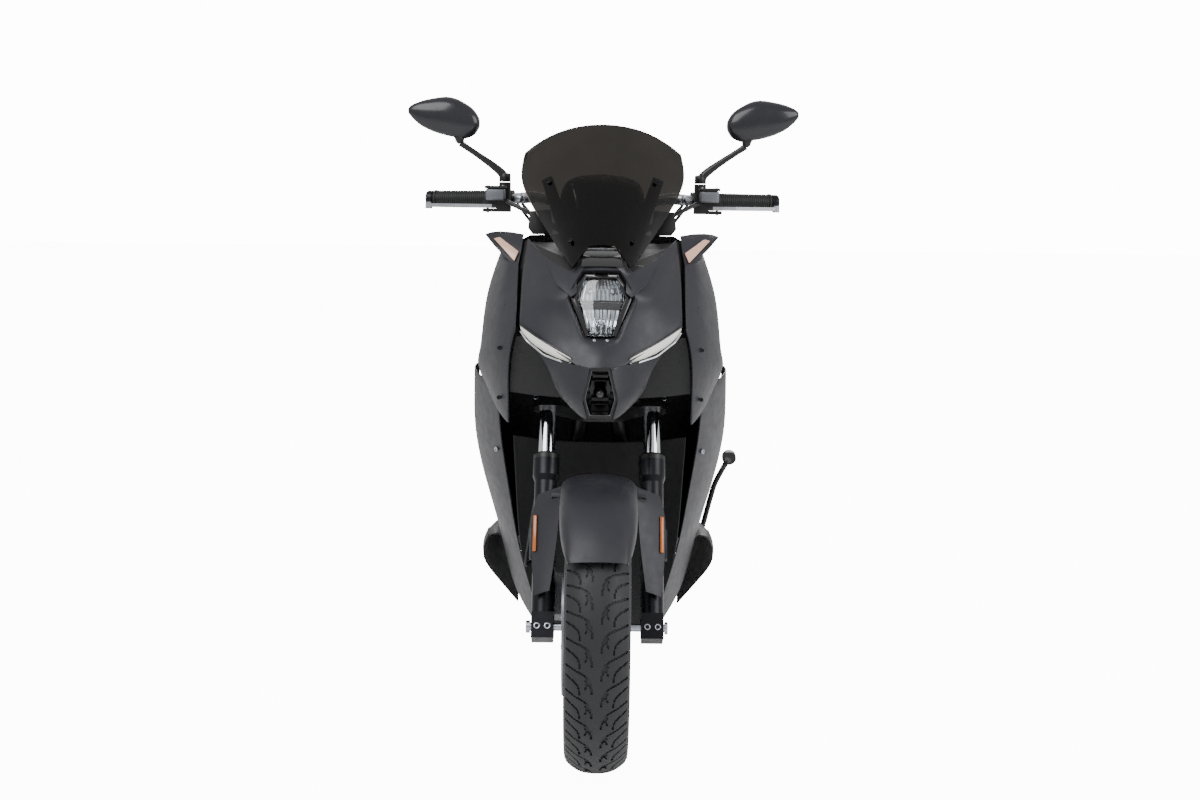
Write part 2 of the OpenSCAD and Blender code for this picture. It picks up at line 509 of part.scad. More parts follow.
// ---------- steering ----------
module steering_stem() color("#1e1f21") {
    on_fork() difference() {
        union() {
            translate([0, 0, crown_z]) linear_extrude(crown_t) polygon(both_sides([[0, -22], [fork_x - 30, -27],
                [fork_x - 8, -32], [fork_x + 16, -30], [fork_x + 28, -14], [fork_x + 28, 12], [fork_x + 14, 27],
                [fork_x - 16, 28], [50, fork_offset + 20], [28, fork_offset + 28], [0, fork_offset + 28]]));
            translate([0, fork_offset, crown_z]) cylinder(h = stem_top - crown_z, d = stem_d);
            translate([0, fork_offset, head_low_z + head_len + 6]) cylinder(h = 14, d = 46);
            translate([-52, fork_offset - 24, stem_top - 30]) cube([104, 48, 24]);
        }
        pair() translate([fork_x, 0, crown_z - 1]) cylinder(h = crown_t + 2, d = stanchion_d);
    }
    pair() {
        rod([34, bar_mid[1] + 2, bar_mid[2] - 20], [34, bar_mid[1] - 6, bar_mid[2] + 34], 26, $fn = 24);
        rod([22, bar_mid[1] - 6, bar_mid[2] + 36], [46, bar_mid[1] - 6, bar_mid[2] + 36], 38, $fn = 24);
    }
}
steering_stem();

module fork_stanchions() color("#d8dadd") on_fork() pair() translate([fork_x, 0, slider_top_z - 150])
    cylinder(h = crown_z + crown_t + 5 - slider_top_z + 150, d = stanchion_d);
fork_stanchions();

bar_route = [[0, -6, 36], [60, -6, 37], [110, -4, 44], [150, -2, 52]];
module bar_left() {
    swept([for (p = bar_route) bar_mid + p], bar_d + 2, 12, 2, [0, 0, 1]);
    rod(bar_mid + bar_route[3] - [2, 0, 0.7], straight_in, bar_d + 1.6, $fn = 24);
    rod(straight_in - 3 * grip_dir, grip_out + 2 * grip_dir, bar_d);
    rod(grip_out + 2 * grip_dir, grip_out + 17 * grip_dir, grip_d - 3);
}
module handlebar() color("#c9ccd0") { bar_left(); mirror([1, 0, 0]) bar_left(); }
handlebar();

module grip(gap) difference() {
    union() {
        rod(grip_in + 3 * grip_dir, grip_out, grip_d);
        rod(grip_in + 1 * grip_dir, grip_in + 6 * grip_dir, grip_d + 7);
        rod(grip_out - 6 * grip_dir, grip_out - 1 * grip_dir, grip_d + 3);
    }
    rod(grip_in - 5 * grip_dir, grip_out + 5 * grip_dir, bar_d + 2 * gap);
}
module left_grip() color("#1a1a1c") grip(0);
module throttle_grip() color("#1a1a1c") mirror([1, 0, 0]) grip(run_gap);
left_grip();
throttle_grip();

perch = straight_in + 30 * grip_dir;
lever_pin = [grip_in[0] + 2, grip_in[1] - 46, grip_in[2] - 16];
post = [straight_in[0] + 32, straight_in[1] - 26, straight_in[2] + 2];
mirror_base_z = post[2] + 32;
button = grip_in - 20 * grip_dir;
module controls() difference() {
    union() {
        rod(grip_in - 34 * grip_dir, grip_in - 2 * grip_dir, 42, $fn = 32);
        rod(perch - 14 * grip_dir, perch + 2 * grip_dir, 34, $fn = 32);
        translate([post[0] - 10, post[1] - 4, perch[2] - 14]) cube([24, 28, 26]);
        translate([post[0], post[1], post[2] - 18]) cylinder(h = 49, d = 25, $fn = 32);
        translate([lever_pin[0] - 40, lever_pin[1] - 9, lever_pin[2] + 5]) cube([50, 30, 7]);
        translate([lever_pin[0] - 40, lever_pin[1] - 9, lever_pin[2] - 12]) cube([50, 30, 7]);
        translate([lever_pin[0] - 48, lever_pin[1] - 9, lever_pin[2] - 12]) cube([30, 34, 24]);
        translate([lever_pin[0], lever_pin[1], lever_pin[2] - 14]) cylinder(h = 28, d = 6);
        translate([lever_pin[0], lever_pin[1], lever_pin[2] + 11]) cylinder(h = 4, d = 14, $fn = 24);
    }
    rod(straight_in - 10 * grip_dir, grip_in + 5 * grip_dir, bar_d);
    translate([lever_pin[0] - 6, lever_pin[1] - 14, lever_pin[2] - 5]) difference() {
        cube([40, 50, 10]);
        translate([6, 14, -1]) cylinder(h = 12, d = 6);
    }
}
module left_controls() color("#2a2a2d") controls();
left_controls();
module right_controls() color("#2a2a2d") mirror([1, 0, 0]) difference() {
    controls();
    translate([button[0], button[1] + 14, button[2] + 2]) rotate([-90, 0, 0]) cylinder(h = 20, d = 12 + 2 * run_gap);
}
right_controls();

module start_button() color("#b3282d") mirror([1, 0, 0]) translate([button[0], button[1] + 17, button[2] + 2])
    rotate([-90, 0, 0]) cylinder(h = 8, d = 12);
start_button();

blade = [[-9, -9], [14, -9], [40, -4], [80, 10], [112, 22], [128, 30], [131, 38], [124, 42], [108, 33], [76, 20],
    [38, 7], [12, 9], [-6, 9]];
module lever() translate(lever_pin) difference() {
    union() {
        translate([0, 0, -4]) linear_extrude(8) polygon(blade);
        translate([127, 36, -7]) cylinder(h = 14, d = 15, $fn = 24);
    }
    translate([0, 0, -5]) cylinder(h = 10, d = 6 + 2 * run_gap);
}
module rear_brake_lever() color("#b9bcc1") lever();
module front_brake_lever() color("#b9bcc1") mirror([1, 0, 0]) lever();
rear_brake_lever();
front_brake_lever();

mirror_pivot = [post[0] + 96, post[1] - 12, mirror_base_z + 92];
module mirror_arm() {
    translate([post[0], post[1], mirror_base_z]) cylinder(h = 17, d = 24, $fn = 32);
    loft([for (p = [[[0, 0, 10], 9], [[10, -1, 22], 9], [[40, -4, 44], 7], [[74, -9, 66], 6], [[92, -12, 78], 7]])
        [for (a = [0 : 60 : 300]) [post[0] + p[0][0] + p[1] * cos(a) * 0.7, post[1] + p[0][1] - p[1] * sin(a) * 0.8,
            mirror_base_z + p[0][2] - p[1] * cos(a) * 0.7]]], 1);
}
module left_mirror_arm() color("#2e2e36") mirror_arm();
module right_mirror_arm() color("#2e2e36") mirror([1, 0, 0]) mirror_arm();
left_mirror_arm();
right_mirror_arm();

pod = [[-44, 28, 8, 8], [-38, 28, 20.5, 14], [-30, 29, 30, 18], [-11, 33, 39, 21], [14, 40, 41.5, 22], [34, 42, 39.5, 21],
    [66, 44, 31.5, 18], [84, 47, 23.5, 14], [98, 51, 13.5, 9], [105, 52, 5, 5]];
module pod_shape() loft([for (p = pod) [for (k = [0 : 13]) let (a = -k * 360 / 14)
    [mirror_pivot[0] + p[0], mirror_pivot[1] + p[3] * (sin(a) > 0 ? 0.45 : 1) * sin(a) ,
        mirror_pivot[2] + p[1] - p[2] * cos(a)]]], 1);
module mirror_head() { pod_shape(); translate(mirror_pivot) sphere(d = 16, $fn = 24); }
module left_mirror() color("#2e2e3a") mirror_head();
module right_mirror() color("#2e2e3a") mirror([1, 0, 0]) mirror_head();
left_mirror();
right_mirror();

// ---------- fork legs and front wheel ----------
module fork_sliders() color("#4a4b50") on_fork() pair() difference() {
    union() {
        translate([fork_x, 0, -20]) cylinder(h = slider_top_z + 20, d = slider_d);
        translate([fork_x, 0, slider_top_z - 34]) cylinder(h = 34, d = seal_d);
        translate([fork_x, 0, slider_top_z - 46]) cylinder(h = 12, d1 = slider_d, d2 = seal_d, $fn = 32);
        translate([fork_x - slider_d / 2 + 1.5, -26, -26]) cube([slider_d - 3, 50, 50]);
        translate([fork_x - 14, 16, 52]) cube([20, 24, 56]);
        translate([fork_x - 14, -34, 150]) cube([18, 22, 70]);
    }
    translate([fork_x, 0, 76]) cylinder(h = slider_top_z, d = stanchion_d + 2 * run_gap);
    cross_pin(fork_x - 40, fork_x + 40, axle_d);
}
fork_sliders();

fender_arc = [for (s = [[-52, 281, 62], [-40, 290, 66], [-22, 297, 71], [0, 298, 73], [18, 297, 73], [34, 294, 72], [44, 291, 64],
    [50, 290, 58], [52, 289, 54]]) [for (c = [[-1, -34], [-0.97, -14], [-0.8, -2], [-0.4, 3], [0, 6], [0.4, 3],
    [0.8, -2], [0.97, -14], [1, -34]]) let (r = s[1] + c[1] * (s[0] > 48 || s[0] < -45 ? 0.35 : 1) + front_tyre_r - 274)
    [s[2] * c[0] * front_tyre_w / 120, front_axle_y - r * sin(s[0]), front_tyre_r + r * cos(s[0])]]];
wing = [[[70, -70, 262], [92, -52, 260], [120, -28, 256]], [[74, -62, 225], [98, -48, 222], [130, -26, 218]],
    [[78, -56, 175], [100, -46, 172], [131, -26, 168]], [[84, -50, 120], [104, -42, 118], [128, -28, 112]],
    [[92, -44, 60], [106, -40, 58], [122, -30, 52]]];
module front_fender() color("#3a3a42") {
    panel(fender_arc, panel_t, 1, 1);
    on_fork() pair() {
        translate([0, (45 - slider_d) / 2, 0]) panel(wing, panel_t, 2, 1);
        translate([60, -68, 240]) cube([32, 26, 8]);
        translate([fork_x + slider_d / 2 + 0.5, -20, 130]) cube([6, 20, 62]);
    }
}
front_fender();

module front_axle() color("#8f9297") at_front_axle() {
    cross_pin(-axle_out, axle_out, axle_d);
    cross_pin(-axle_out - 8, -axle_out, axle_d + 9);
    cross_pin(axle_out, axle_out + 6, axle_d + 9);
}
front_axle();

disc_x = 64;
module caliper(y, z, h) difference() {
    translate([-disc_x - 22, y - 28, z - h / 2]) cube([44, 56, h]);
    translate([-disc_x - 4, y - 60, z - h]) cube([8, 82, 2 * h]);
}
module front_caliper() color("#3b3c40") on_fork() {
    caliper(disc_r - 24, 84, 84);
    translate([-fork_x + 5, 40, 52]) cube([16, disc_r - 90, 56]);
}
front_caliper();

module brake_hose() color("#141416") on_fork() swept([[-98, 96, 128], [-110, 92, 150], [-132, 74, 152], [-142, 50, 132],
    [-140, 34, 150], [-134, 30, 200], [-128, 28, 250], [-120, 28, 288]], 8, 8, 2);
brake_hose();

module turned_about_x(profile) rotate([0, 90, 0]) rotate_extrude($fn = 96) polygon([for (p = profile) [p[0], p[1]]]);
// Sections are (radius, x) pairs.
function tyre_section(r0, r1, w) = let (h = w / 2) [[r0, -h * 0.62], [r0 + 9, -h * 0.72], [r0 + 20, -h * 0.84],
    [r0 + (r1 - r0) * 0.45, -h * 0.98], [r0 + (r1 - r0) * 0.58, -h], [r1 - 22, -h * 0.93], [r1 - 10, -h * 0.72],
    [r1 - 2.6, -h * 0.38], [r1, 0], [r1 - 2.6, h * 0.38], [r1 - 10, h * 0.72], [r1 - 22, h * 0.93],
    [r0 + (r1 - r0) * 0.58, h], [r0 + (r1 - r0) * 0.45, h * 0.98], [r0 + 20, h * 0.84], [r0 + 9, h * 0.72],
    [r0, h * 0.62], [r0 + 5, h * 0.5], [r0 + 14, h * 0.62], [r0 + 30, h * 0.8], [r1 - 24, h * 0.78], [r1 - 14, h * 0.4],
    [r1 - 12, 0], [r1 - 14, -h * 0.4], [r1 - 24, -h * 0.78], [r0 + 30, -h * 0.8], [r0 + 14, -h * 0.62],
    [r0 + 5, -h * 0.5]];
function rim_section(r, w) = let (h = w * 0.31) [[r - 6, -h - 6], [r + 5, -h - 6], [r + 5, -h - 1], [r, -h], [r, h],
    [r + 5, h + 1], [r + 5, h + 6], [r - 6, h + 6], [r - 7, h - 8], [r - 22, h - 22], [r - 22, -h + 22], [r - 7, -h + 8]];
module spoke_wheel(r, w, bore, count, hub_r, hub_x, disc_side_r) difference() {
    union() {
        turned_about_x(rim_section(r, w));
        cross_pin(-hub_x, hub_x, 2 * hub_r);
        cross_pin(-disc_x + 2.5, 0, 2 * disc_side_r);
        for (k = [0 : count - 1]) rotate([90 + k * 360 / count, 0, 0]) rotate([0, 90, 0]) rotate([0, 0, 90])
            for (s = [-1, 1]) translate([0, 0, -13]) linear_extrude(26) polygon([[s * 3, hub_r - 6], [s * 17, hub_r - 8],
                [s * 26, r * 0.6], [s * 36, r - 18], [s * 20, r - 16], [s * 13, r * 0.6]]);
    }
    cross_pin(-hub_x - 30, hub_x + 30, bore);
}
module front_rim() color("#2b2b2e") at_front_axle() spoke_wheel(front_rim_r, front_tyre_w, axle_d + 2 * run_gap, 5, 34, 62, 46);
front_rim();
module front_tyre() color("#26282c") at_front_axle() turned_about_x(tyre_section(front_rim_r, front_tyre_r, front_tyre_w));
front_tyre();
module brake_disc(r, ri, x) difference() {
    cross_pin(x - 2.5, x + 2.5, 2 * r);
    cross_pin(x - 4, x + 4, 2 * ri);
    for (a = [0 : 30 : 330]) rotate([a, 0, 0]) translate([0, r * 0.8, 0]) cross_pin(x - 4, x + 4, 11);
}
module front_disc() color("#b4b7bb") at_front_axle() brake_disc(disc_r, 40, -disc_x);
front_disc();

// ---------- swing unit ----------
function arc(c, r, a0, a1, k) = [for (i = [0 : k]) let (a = a0 + (a1 - a0) * i / k) c + r * [cos(a), sin(a)]];
block_front = swing_pivot[0] - 30;
block_back = rear_axle_y - rear_tyre_r - 16;
axle_c = [rear_axle_y, rear_axle_z];
module arm_outline(x0, x1, r, top) slab(x0, x1, concat(arc(axle_c, r, -95, 80, 6), [[rear_axle_y - 60, axle_c[1] + r - 4],
    [block_back, top], [block_back - 60, top - 10], [block_back - 90, top - 70], [block_back - 60, swing_pivot[1] - 58]]));
module crankcase() color("#6d7075") difference() {
    union() {
        slab(-bx(72), bx(74), [[block_front, swing_pivot[1] - 26], [block_front + 40, swing_pivot[1] - 54],
            [block_back, swing_pivot[1] - 52], [block_back, swing_pivot[1] + 60], [block_back - 40, swing_pivot[1] + 140],
            [block_front + 20, swing_pivot[1] + 100], [block_front, swing_pivot[1] + 20]]);
        for (i = [0 : 5]) translate([-bx(56) + i % 2 * 4, block_front - 24 - i * 18, swing_pivot[1] - 24])
            cube([bx(112) - i % 2 * 8, 20, 104]);
        at_pivot() cross_pin(-bx(100) + air, bx(100) - air, 42);
        arm_outline(bx(73), bx(73) + 16, 62, swing_pivot[1] + 72);
        mirror([1, 0, 0]) arm_outline(bx(73) + 9, bx(73) + 23, 34, swing_pivot[1] + 34);
        at_rear_axle() cross_pin(-bx(73) - 40, bx(73) + 6, rear_axle_d);
        at_rear_axle() cross_pin(-bx(73) - 40, -bx(73) - 23, 30);
        slab(bx(78), bx(78) + 10, [[shock_y - 44, rear_axle_z + 40], [shock_y + 22, rear_axle_z + 40],
            [shock_y + 16, shock_low_z + 14], [shock_y - 16, shock_low_z + 14]]);
        slab(-bx(92), -bx(82), [[shock_y - 40, rear_axle_z + 10], [shock_y + 4, rear_axle_z + 10],
            [shock_y + 16, shock_low_z + 14], [shock_y - 16, shock_low_z + 14]]);
        translate([0, shock_y, shock_low_z]) {
            cross_pin(bx(82), shock_x + 16, 12);
            cross_pin(-shock_x - 16, -bx(84), 12);
            cross_pin(shock_x + 14, shock_x + 18, 22);
            cross_pin(-shock_x - 18, -shock_x - 14, 22);
        }
    }
    at_pivot() cross_pin(-bx(120), bx(120), pivot_d + 2 * run_gap);
}
crankcase();

module cvt_cover() color("#2d2e31") {
    slab(bx(73) + 16, bx(73) + 52, concat(arc(axle_c + [-8, -4], 56, -90, 85, 6),
        [[rear_axle_y - 130, axle_c[1] + 64], [block_back - 20, swing_pivot[1] + 72]],
        arc([block_back - 36, swing_pivot[1] + 6], 64, 90, 270, 8)));
    slab(bx(73) + 52, bx(73) + 66, concat(arc(axle_c + [-8, -4], 44, -90, 85, 6),
        arc([block_back - 34, swing_pivot[1] + 6], 52, 90, 270, 8)));
    slab(bx(73) + 18, bx(73) + 70, [[block_back - 36, swing_pivot[1] + 76], [rear_axle_y - 110, axle_c[1] + 72],
        [rear_axle_y - 110, axle_c[1] + 126], [rear_axle_y - 140, axle_c[1] + 140], [block_back + 4, swing_pivot[1] + 128],
        [block_back - 24, swing_pivot[1] + 112]]);
}
cvt_cover();

pipe = [[-20, block_front - 80, swing_pivot[1] - 20], [-60, block_front - 88, swing_pivot[1] - 30],
    [-118, block_front - 62, swing_pivot[1] - 22], [-146, block_front - 20, swing_pivot[1] - 18],
    [-158, block_front + 90, swing_pivot[1] - 6], [-194, block_front + 170, swing_pivot[1] + 6],
    [-210, block_front + 230, swing_pivot[1] + 22]];
muffler = [[-210, block_front + 226, swing_pivot[1] + 20, 24, 24], [-210, block_front + 262, swing_pivot[1] + 30, 43, 52],
    [-210, block_front + 420, swing_pivot[1] + 72, 44, 56], [-210, rear_axle_y + 170, swing_pivot[1] + 128, 44, 54],
    [-210, rear_axle_y + 200, swing_pivot[1] + 138, 32, 38]];
module exhaust() color("#54565a") {
    swept(pipe, 32, 10, 2, [0, 0, 1]);
    loft([for (m = muffler) ring(m[1], m[0], m[2], m[3], m[4], 0.8, 14)]);
    translate([-174, shock_y - 66, rear_axle_z + 30]) cube([80, 30, 30]);
}
exhaust();

rear_disc_x = 72;
module rear_caliper() color("#2f3034") at_rear_axle() difference() {
    translate([-rear_disc_x - 9, 30, 62]) cube([22, 62, 56]);
    translate([-rear_disc_x - 4, 20, 50]) cube([8, 100, 61]);
}
rear_caliper();
module rear_rim() color("#2b2b2e") at_rear_axle() difference() {
    spoke_wheel(rear_rim_r, rear_tyre_w * 0.94, rear_axle_d + 2 * run_gap, 5, 42, 64, 48);
}
rear_rim();
module rear_tyre() color("#26282c") at_rear_axle() turned_about_x(tyre_section(rear_rim_r, rear_tyre_r, rear_tyre_w));
rear_tyre();
module rear_disc() color("#b4b7bb") at_rear_axle() brake_disc(112, 36, -rear_disc_x);
rear_disc();

// ---------- shock absorbers ----------
shock_len = shock_high_z - shock_low_z;
module at_shock(z) pair() translate([shock_x, shock_y, z]) children();
module shock_dampers() color("#26272a") at_shock(shock_high_z) difference() {
    union() {
        cross_pin(-13, 13, 30);
        translate([0, 0, -125]) cylinder(h = 115, d = 30);
        translate([0, 0, -34]) cylinder(h = 8, d = 60);
    }
    cross_pin(-20, 20, 12 + 2 * run_gap);
    translate([0, 0, -126]) cylinder(h = 109, d = 12 + 2 * run_gap);
}
shock_dampers();
module shock_rods() color("#c9ccd0") at_shock(shock_low_z) difference() {
    union() {
        cross_pin(-12, 12, 30);
        translate([0, 0, 10]) cylinder(h = shock_len - 92 - 10, d = 12);
        translate([0, 0, 16]) cylinder(h = 6, d = 60);
    }
    cross_pin(-20, 20, 18);
}
shock_rods();
spring_z = [shock_low_z + 26, shock_high_z - 38];
module shock_springs() color("#b03030") at_shock(0) swept([for (i = [0 : 60]) let (a = i * 36)
    [22 * cos(a), 22 * sin(a), spring_z[0] + (spring_z[1] - spring_z[0]) * i / 60]], 8, 6, 1, [0, 0, 1]);
shock_springs();

// ---------- stands and pegs ----------
module centre_stand() color("#1b1c1e") {
    sx = bx(150);
    translate([0, stand_pivot[0], stand_pivot[1]]) cross_pin(-bx(128), bx(128), stand_d);
    pair() {
        rod([bx(118), stand_pivot[0], stand_pivot[1]], [sx, stand_pivot[0] - 24, 14], 22, $fn = 16);
        rod([sx, stand_pivot[0] - 54, 12], [sx, stand_pivot[0] - 4, 12], 24, $fn = 24);
    }
    rod([-bx(132), stand_pivot[0] - 12, 76], [bx(132), stand_pivot[0] - 12, 76], 16, $fn = 16);
    swept([[bx(143), stand_pivot[0] - 17, 46], [bx(182), by(330), 70], [bx(240), by(356), 170], [bx(286), by(380), 330],
        [bx(300), by(388), 372], [bx(326), by(398), 418]], 14, 8, 2, [0, 1, 0]);
    translate([bx(333), by(400) - 8, 430]) rotate([-75, 0, 0]) cylinder(h = 16, d = 36, $fn = 24);
}
centre_stand();

side_pin = [by(58), bz(168) - 1];
module side_stand() color("#1b1c1e") translate([bx(132), side_pin[0], side_pin[1]]) {
    difference() {
        cross_pin(0, bx(14), 26);
        cross_pin(-1, bx(16), 12 + 2 * run_gap);
    }
    rod([bx(7), 10, 0], [bx(22), 178, -14], 13, $fn = 16);
    translate([bx(8), 166, -20]) cube([34, 26, 7]);
}
side_stand();

module footpeg() translate([bx(163), by(332), bz(430)]) {
    translate([0, 0, -10.8]) cylinder(h = 21.6, d = 22);
    translate([0, 0, -22]) cylinder(h = 44, d = 8);
    translate([-8, 8, -9]) cube([26, 88, 18]);
}
module left_footpeg() color("#8b8e94") footpeg();
module right_footpeg() color("#8b8e94") mirror([1, 0, 0]) footpeg();
left_footpeg();
right_footpeg();
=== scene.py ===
"""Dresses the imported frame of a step-through maxi scooter and lights it in a plain studio."""

from __future__ import annotations

import json
import logging
import math
from dataclasses import dataclass, field
from enum import Enum
from typing import Callable, Sequence

import bpy
import numpy as np
from mathutils import Matrix, Vector

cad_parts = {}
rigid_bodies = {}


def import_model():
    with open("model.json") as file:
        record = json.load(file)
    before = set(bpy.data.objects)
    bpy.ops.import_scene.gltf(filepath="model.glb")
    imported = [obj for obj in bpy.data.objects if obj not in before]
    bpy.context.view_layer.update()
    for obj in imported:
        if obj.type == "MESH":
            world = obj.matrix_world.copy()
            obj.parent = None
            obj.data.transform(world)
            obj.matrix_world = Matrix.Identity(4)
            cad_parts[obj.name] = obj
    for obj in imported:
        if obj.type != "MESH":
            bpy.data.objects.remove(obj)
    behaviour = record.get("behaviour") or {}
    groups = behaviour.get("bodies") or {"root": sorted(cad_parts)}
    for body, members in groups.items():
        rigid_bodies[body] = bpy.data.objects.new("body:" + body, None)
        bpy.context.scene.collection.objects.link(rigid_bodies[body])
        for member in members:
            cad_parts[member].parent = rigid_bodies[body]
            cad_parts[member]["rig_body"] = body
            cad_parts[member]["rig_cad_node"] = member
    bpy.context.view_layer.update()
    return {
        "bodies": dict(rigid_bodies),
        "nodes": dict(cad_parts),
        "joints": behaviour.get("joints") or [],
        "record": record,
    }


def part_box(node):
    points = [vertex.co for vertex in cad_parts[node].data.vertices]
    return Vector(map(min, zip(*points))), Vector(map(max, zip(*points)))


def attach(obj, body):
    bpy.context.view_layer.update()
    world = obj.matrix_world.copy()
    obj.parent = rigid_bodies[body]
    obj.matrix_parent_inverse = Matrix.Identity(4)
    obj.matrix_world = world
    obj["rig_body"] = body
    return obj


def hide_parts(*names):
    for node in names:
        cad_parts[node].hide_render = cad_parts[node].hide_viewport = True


LOG = logging.getLogger("scooter")
Point = tuple[float, float, float]
Socket = bpy.types.NodeSocket

FRONT_AXLE = Vector((0.0, -0.705, 0.274))
REAR_AXLE = Vector((0.0, 0.665, 0.276))
RAKE = math.radians(27.0)
FORK_FRAME = Matrix.Translation(FRONT_AXLE) @ Matrix.Rotation(-RAKE, 4, "X")

NODE_MERGE = 2e-5  # metres between points that are one point of a CAD node
PATH_POINTS = 5  # control points that Blender's own path starts with
CLOTH_FRAMES = 20
CLOTH_SWELL = 0.0025  # metres that a point of the seat cover may move
GROOVE_DEPTH = 0.0035


# ---------------------------------------------------------------- materials


def linear(code: str) -> tuple[float, float, float, float]:
    """Turns an sRGB hex code into linear light.

    Args:
        code: six hex digits, with or without a leading hash.

    Returns:
        Red, green, blue and an alpha of one.
    """
    digits = code.lstrip("#")
    shares = [int(digits[i : i + 2], 16) / 255 for i in (0, 2, 4)]
    light = [s / 12.92 if s <= 0.04045 else ((s + 0.055) / 1.055) ** 2.4 for s in shares]
    return (light[0], light[1], light[2], 1.0)


def add_node(
    tree: bpy.types.NodeTree,
    kind: str,
    settings: dict[str, object] | None = None,
    links: dict[str | int, object] | None = None,
) -> bpy.types.Node:
    """Adds one shader node with its settings, socket values and links.

    Args:
        tree: the material's node tree.
        kind: the node's type, without the ShaderNode prefix.
        settings: attributes of the node itself.
        links: a value or an output socket for each named or numbered input.

    Returns:
        The new node.
    """
    node = tree.nodes.new("ShaderNode" + kind)
    for name, value in (settings or {}).items():
        setattr(node, name, value)
    for name, value in (links or {}).items():
        if isinstance(value, bpy.types.NodeSocket):
            tree.links.new(value, node.inputs[name])
        else:
            node.inputs[name].default_value = value
    return node


def ramp(tree: bpy.types.NodeTree, fac: Socket, stops: Sequence[tuple[float, str]]) -> Socket:
    """Maps a value to colours.

    Args:
        tree: the material's node tree.
        fac: the value to map.
        stops: positions and hex colours, in order.

    Returns:
        The colour output.
    """
    node = add_node(tree, "ValToRGB", links={"Fac": fac})
    elements = node.color_ramp.elements
    while len(elements) < len(stops):
        elements.new(0.5)
    for element, (place, code) in zip(elements, stops):
        element.position = place
        element.color = linear(code)
    return node.outputs["Color"]


class Grain(Enum):
    """The surface textures that the mouldings and metals have, as (size in mm, bump in mm)."""

    NONE = (1.0, 0.0)
    SATIN = (0.9, 0.012)
    LEATHER = (2.6, 0.12)
    SPARK = (1.4, 0.06)
    CAST = (2.2, 0.10)
    ORANGE_PEEL = (5.0, 0.02)


@dataclass(frozen=True)
class Finish:
    """One opaque or clear finish, with its colour drift and its grain."""

    name: str
    colour: str
    drift: str
    roughness: float
    metallic: float = 0.0
    grain: Grain = Grain.SATIN
    coat: float = 0.0
    transmission: float = 0.0
    ior: float = 1.5
    glow: float = 0.0
    brushed: float = 0.0
    sheen: float = 0.0

    def build(self) -> bpy.types.Material:
        """Makes the material, once, and returns it."""
        made = bpy.data.materials.get(self.name)
        if made:
            return made
        made = bpy.data.materials.new(self.name)
        made.use_nodes = True
        tree = made.node_tree
        shader = tree.nodes["Principled BSDF"]
        place = add_node(tree, "TexCoord").outputs["Object"]
        cloud = add_node(
            tree, "TexNoise", links={"Vector": place, "Scale": 14.0, "Detail": 3.0, "Roughness": 0.6}
        )
        colour = ramp(tree, cloud.outputs["Fac"], [(0.3, self.colour), (0.72, self.drift)])
        tree.links.new(colour, shader.inputs["Base Color"])
        patch = add_node(tree, "TexNoise", links={"Vector": place, "Scale": 55.0, "Detail": 4.0})
        rough = add_node(
            tree,
            "MapRange",
            links={
                "Value": patch.outputs["Fac"],
                "From Min": 0.3,
                "From Max": 0.7,
                "To Min": max(self.roughness - 0.04, 0.0),
                "To Max": self.roughness + 0.05,
            },
        )
        tree.links.new(rough.outputs["Result"], shader.inputs["Roughness"])
        shader.inputs["Metallic"].default_value = self.metallic
        if not self.metallic:
            shader.inputs["IOR"].default_value = self.ior
        shader.inputs["Coat Weight"].default_value = self.coat
        shader.inputs["Coat Roughness"].default_value = 0.12
        shader.inputs["Transmission Weight"].default_value = self.transmission
        shader.inputs["Sheen Weight"].default_value = self.sheen
        if self.glow:
            shader.inputs["Emission Color"].default_value = linear(self.colour)
            shader.inputs["Emission Strength"].default_value = self.glow
        self.texture(tree, shader, place)
        return made

    def texture(self, tree: bpy.types.NodeTree, shader: bpy.types.Node, place: Socket) -> None:
        """Adds the grain as bump.

        Args:
            tree: the material's node tree.
            shader: the surface shader.
            place: the object coordinates.
        """
        size, height = self.grain.value
        if self.brushed:
            stretch = add_node(
                tree, "Mapping", links={"Vector": place, "Scale": (1.0, self.brushed, self.brushed)}
            )
            source = add_node(
                tree, "TexNoise", links={"Vector": stretch.outputs["Vector"], "Scale": 30.0, "Detail": 4.0}
            ).outputs["Fac"]
            height = 0.03
        elif self.grain is Grain.NONE:
            return
        elif self.grain is Grain.LEATHER:
            source = add_node(
                tree,
                "TexVoronoi",
                {"feature": "DISTANCE_TO_EDGE"},
                {"Vector": place, "Scale": 1000.0 / size},
            ).outputs["Distance"]
        else:
            source = add_node(
                tree, "TexNoise", links={"Vector": place, "Scale": 1000.0 / size, "Detail": 2.0}
            ).outputs["Fac"]
        bump = add_node(
            tree, "Bump", links={"Height": source, "Distance": height / 1000.0, "Strength": 0.8}
        )
        tree.links.new(bump.outputs["Normal"], shader.inputs["Normal"])


# Two-pack matt paint over ABS: a deep neutral grey with a soft, wide highlight.
MATT_PAINT = Finish("matt_charcoal_paint", "#26262c", "#2a2a31", 0.42, 0.2, Grain.ORANGE_PEEL)
# The same paint seen on edges and small covers, a little glossier.
SATIN_PAINT = Finish("satin_charcoal_paint", "#1a1a20", "#1e1e25", 0.24, 0.2, Grain.ORANGE_PEEL, coat=0.25)
# Spark-eroded polypropylene: unpainted black, with a dry grain.
BLACK_MOULDING = Finish("grained_black_polypropylene", "#0f0f11", "#141416", 0.52, grain=Grain.SPARK)
# Polished black ABS: near-black and mirror smooth.
PIANO_BLACK = Finish("gloss_black_abs", "#08080a", "#0c0c0f", 0.10, grain=Grain.NONE, coat=0.5)
# Powder coat on welded tube: black with a slight orange peel.
POWDER_COAT = Finish("black_powder_coat", "#0e0e10", "#131315", 0.34, 0.1, Grain.ORANGE_PEEL)
# Anodised and bead-blasted aluminium, as on fork legs.
GREY_ANODISED = Finish("black_anodised_aluminium", "#1c1c21", "#222227", 0.30, 0.7, Grain.SATIN)
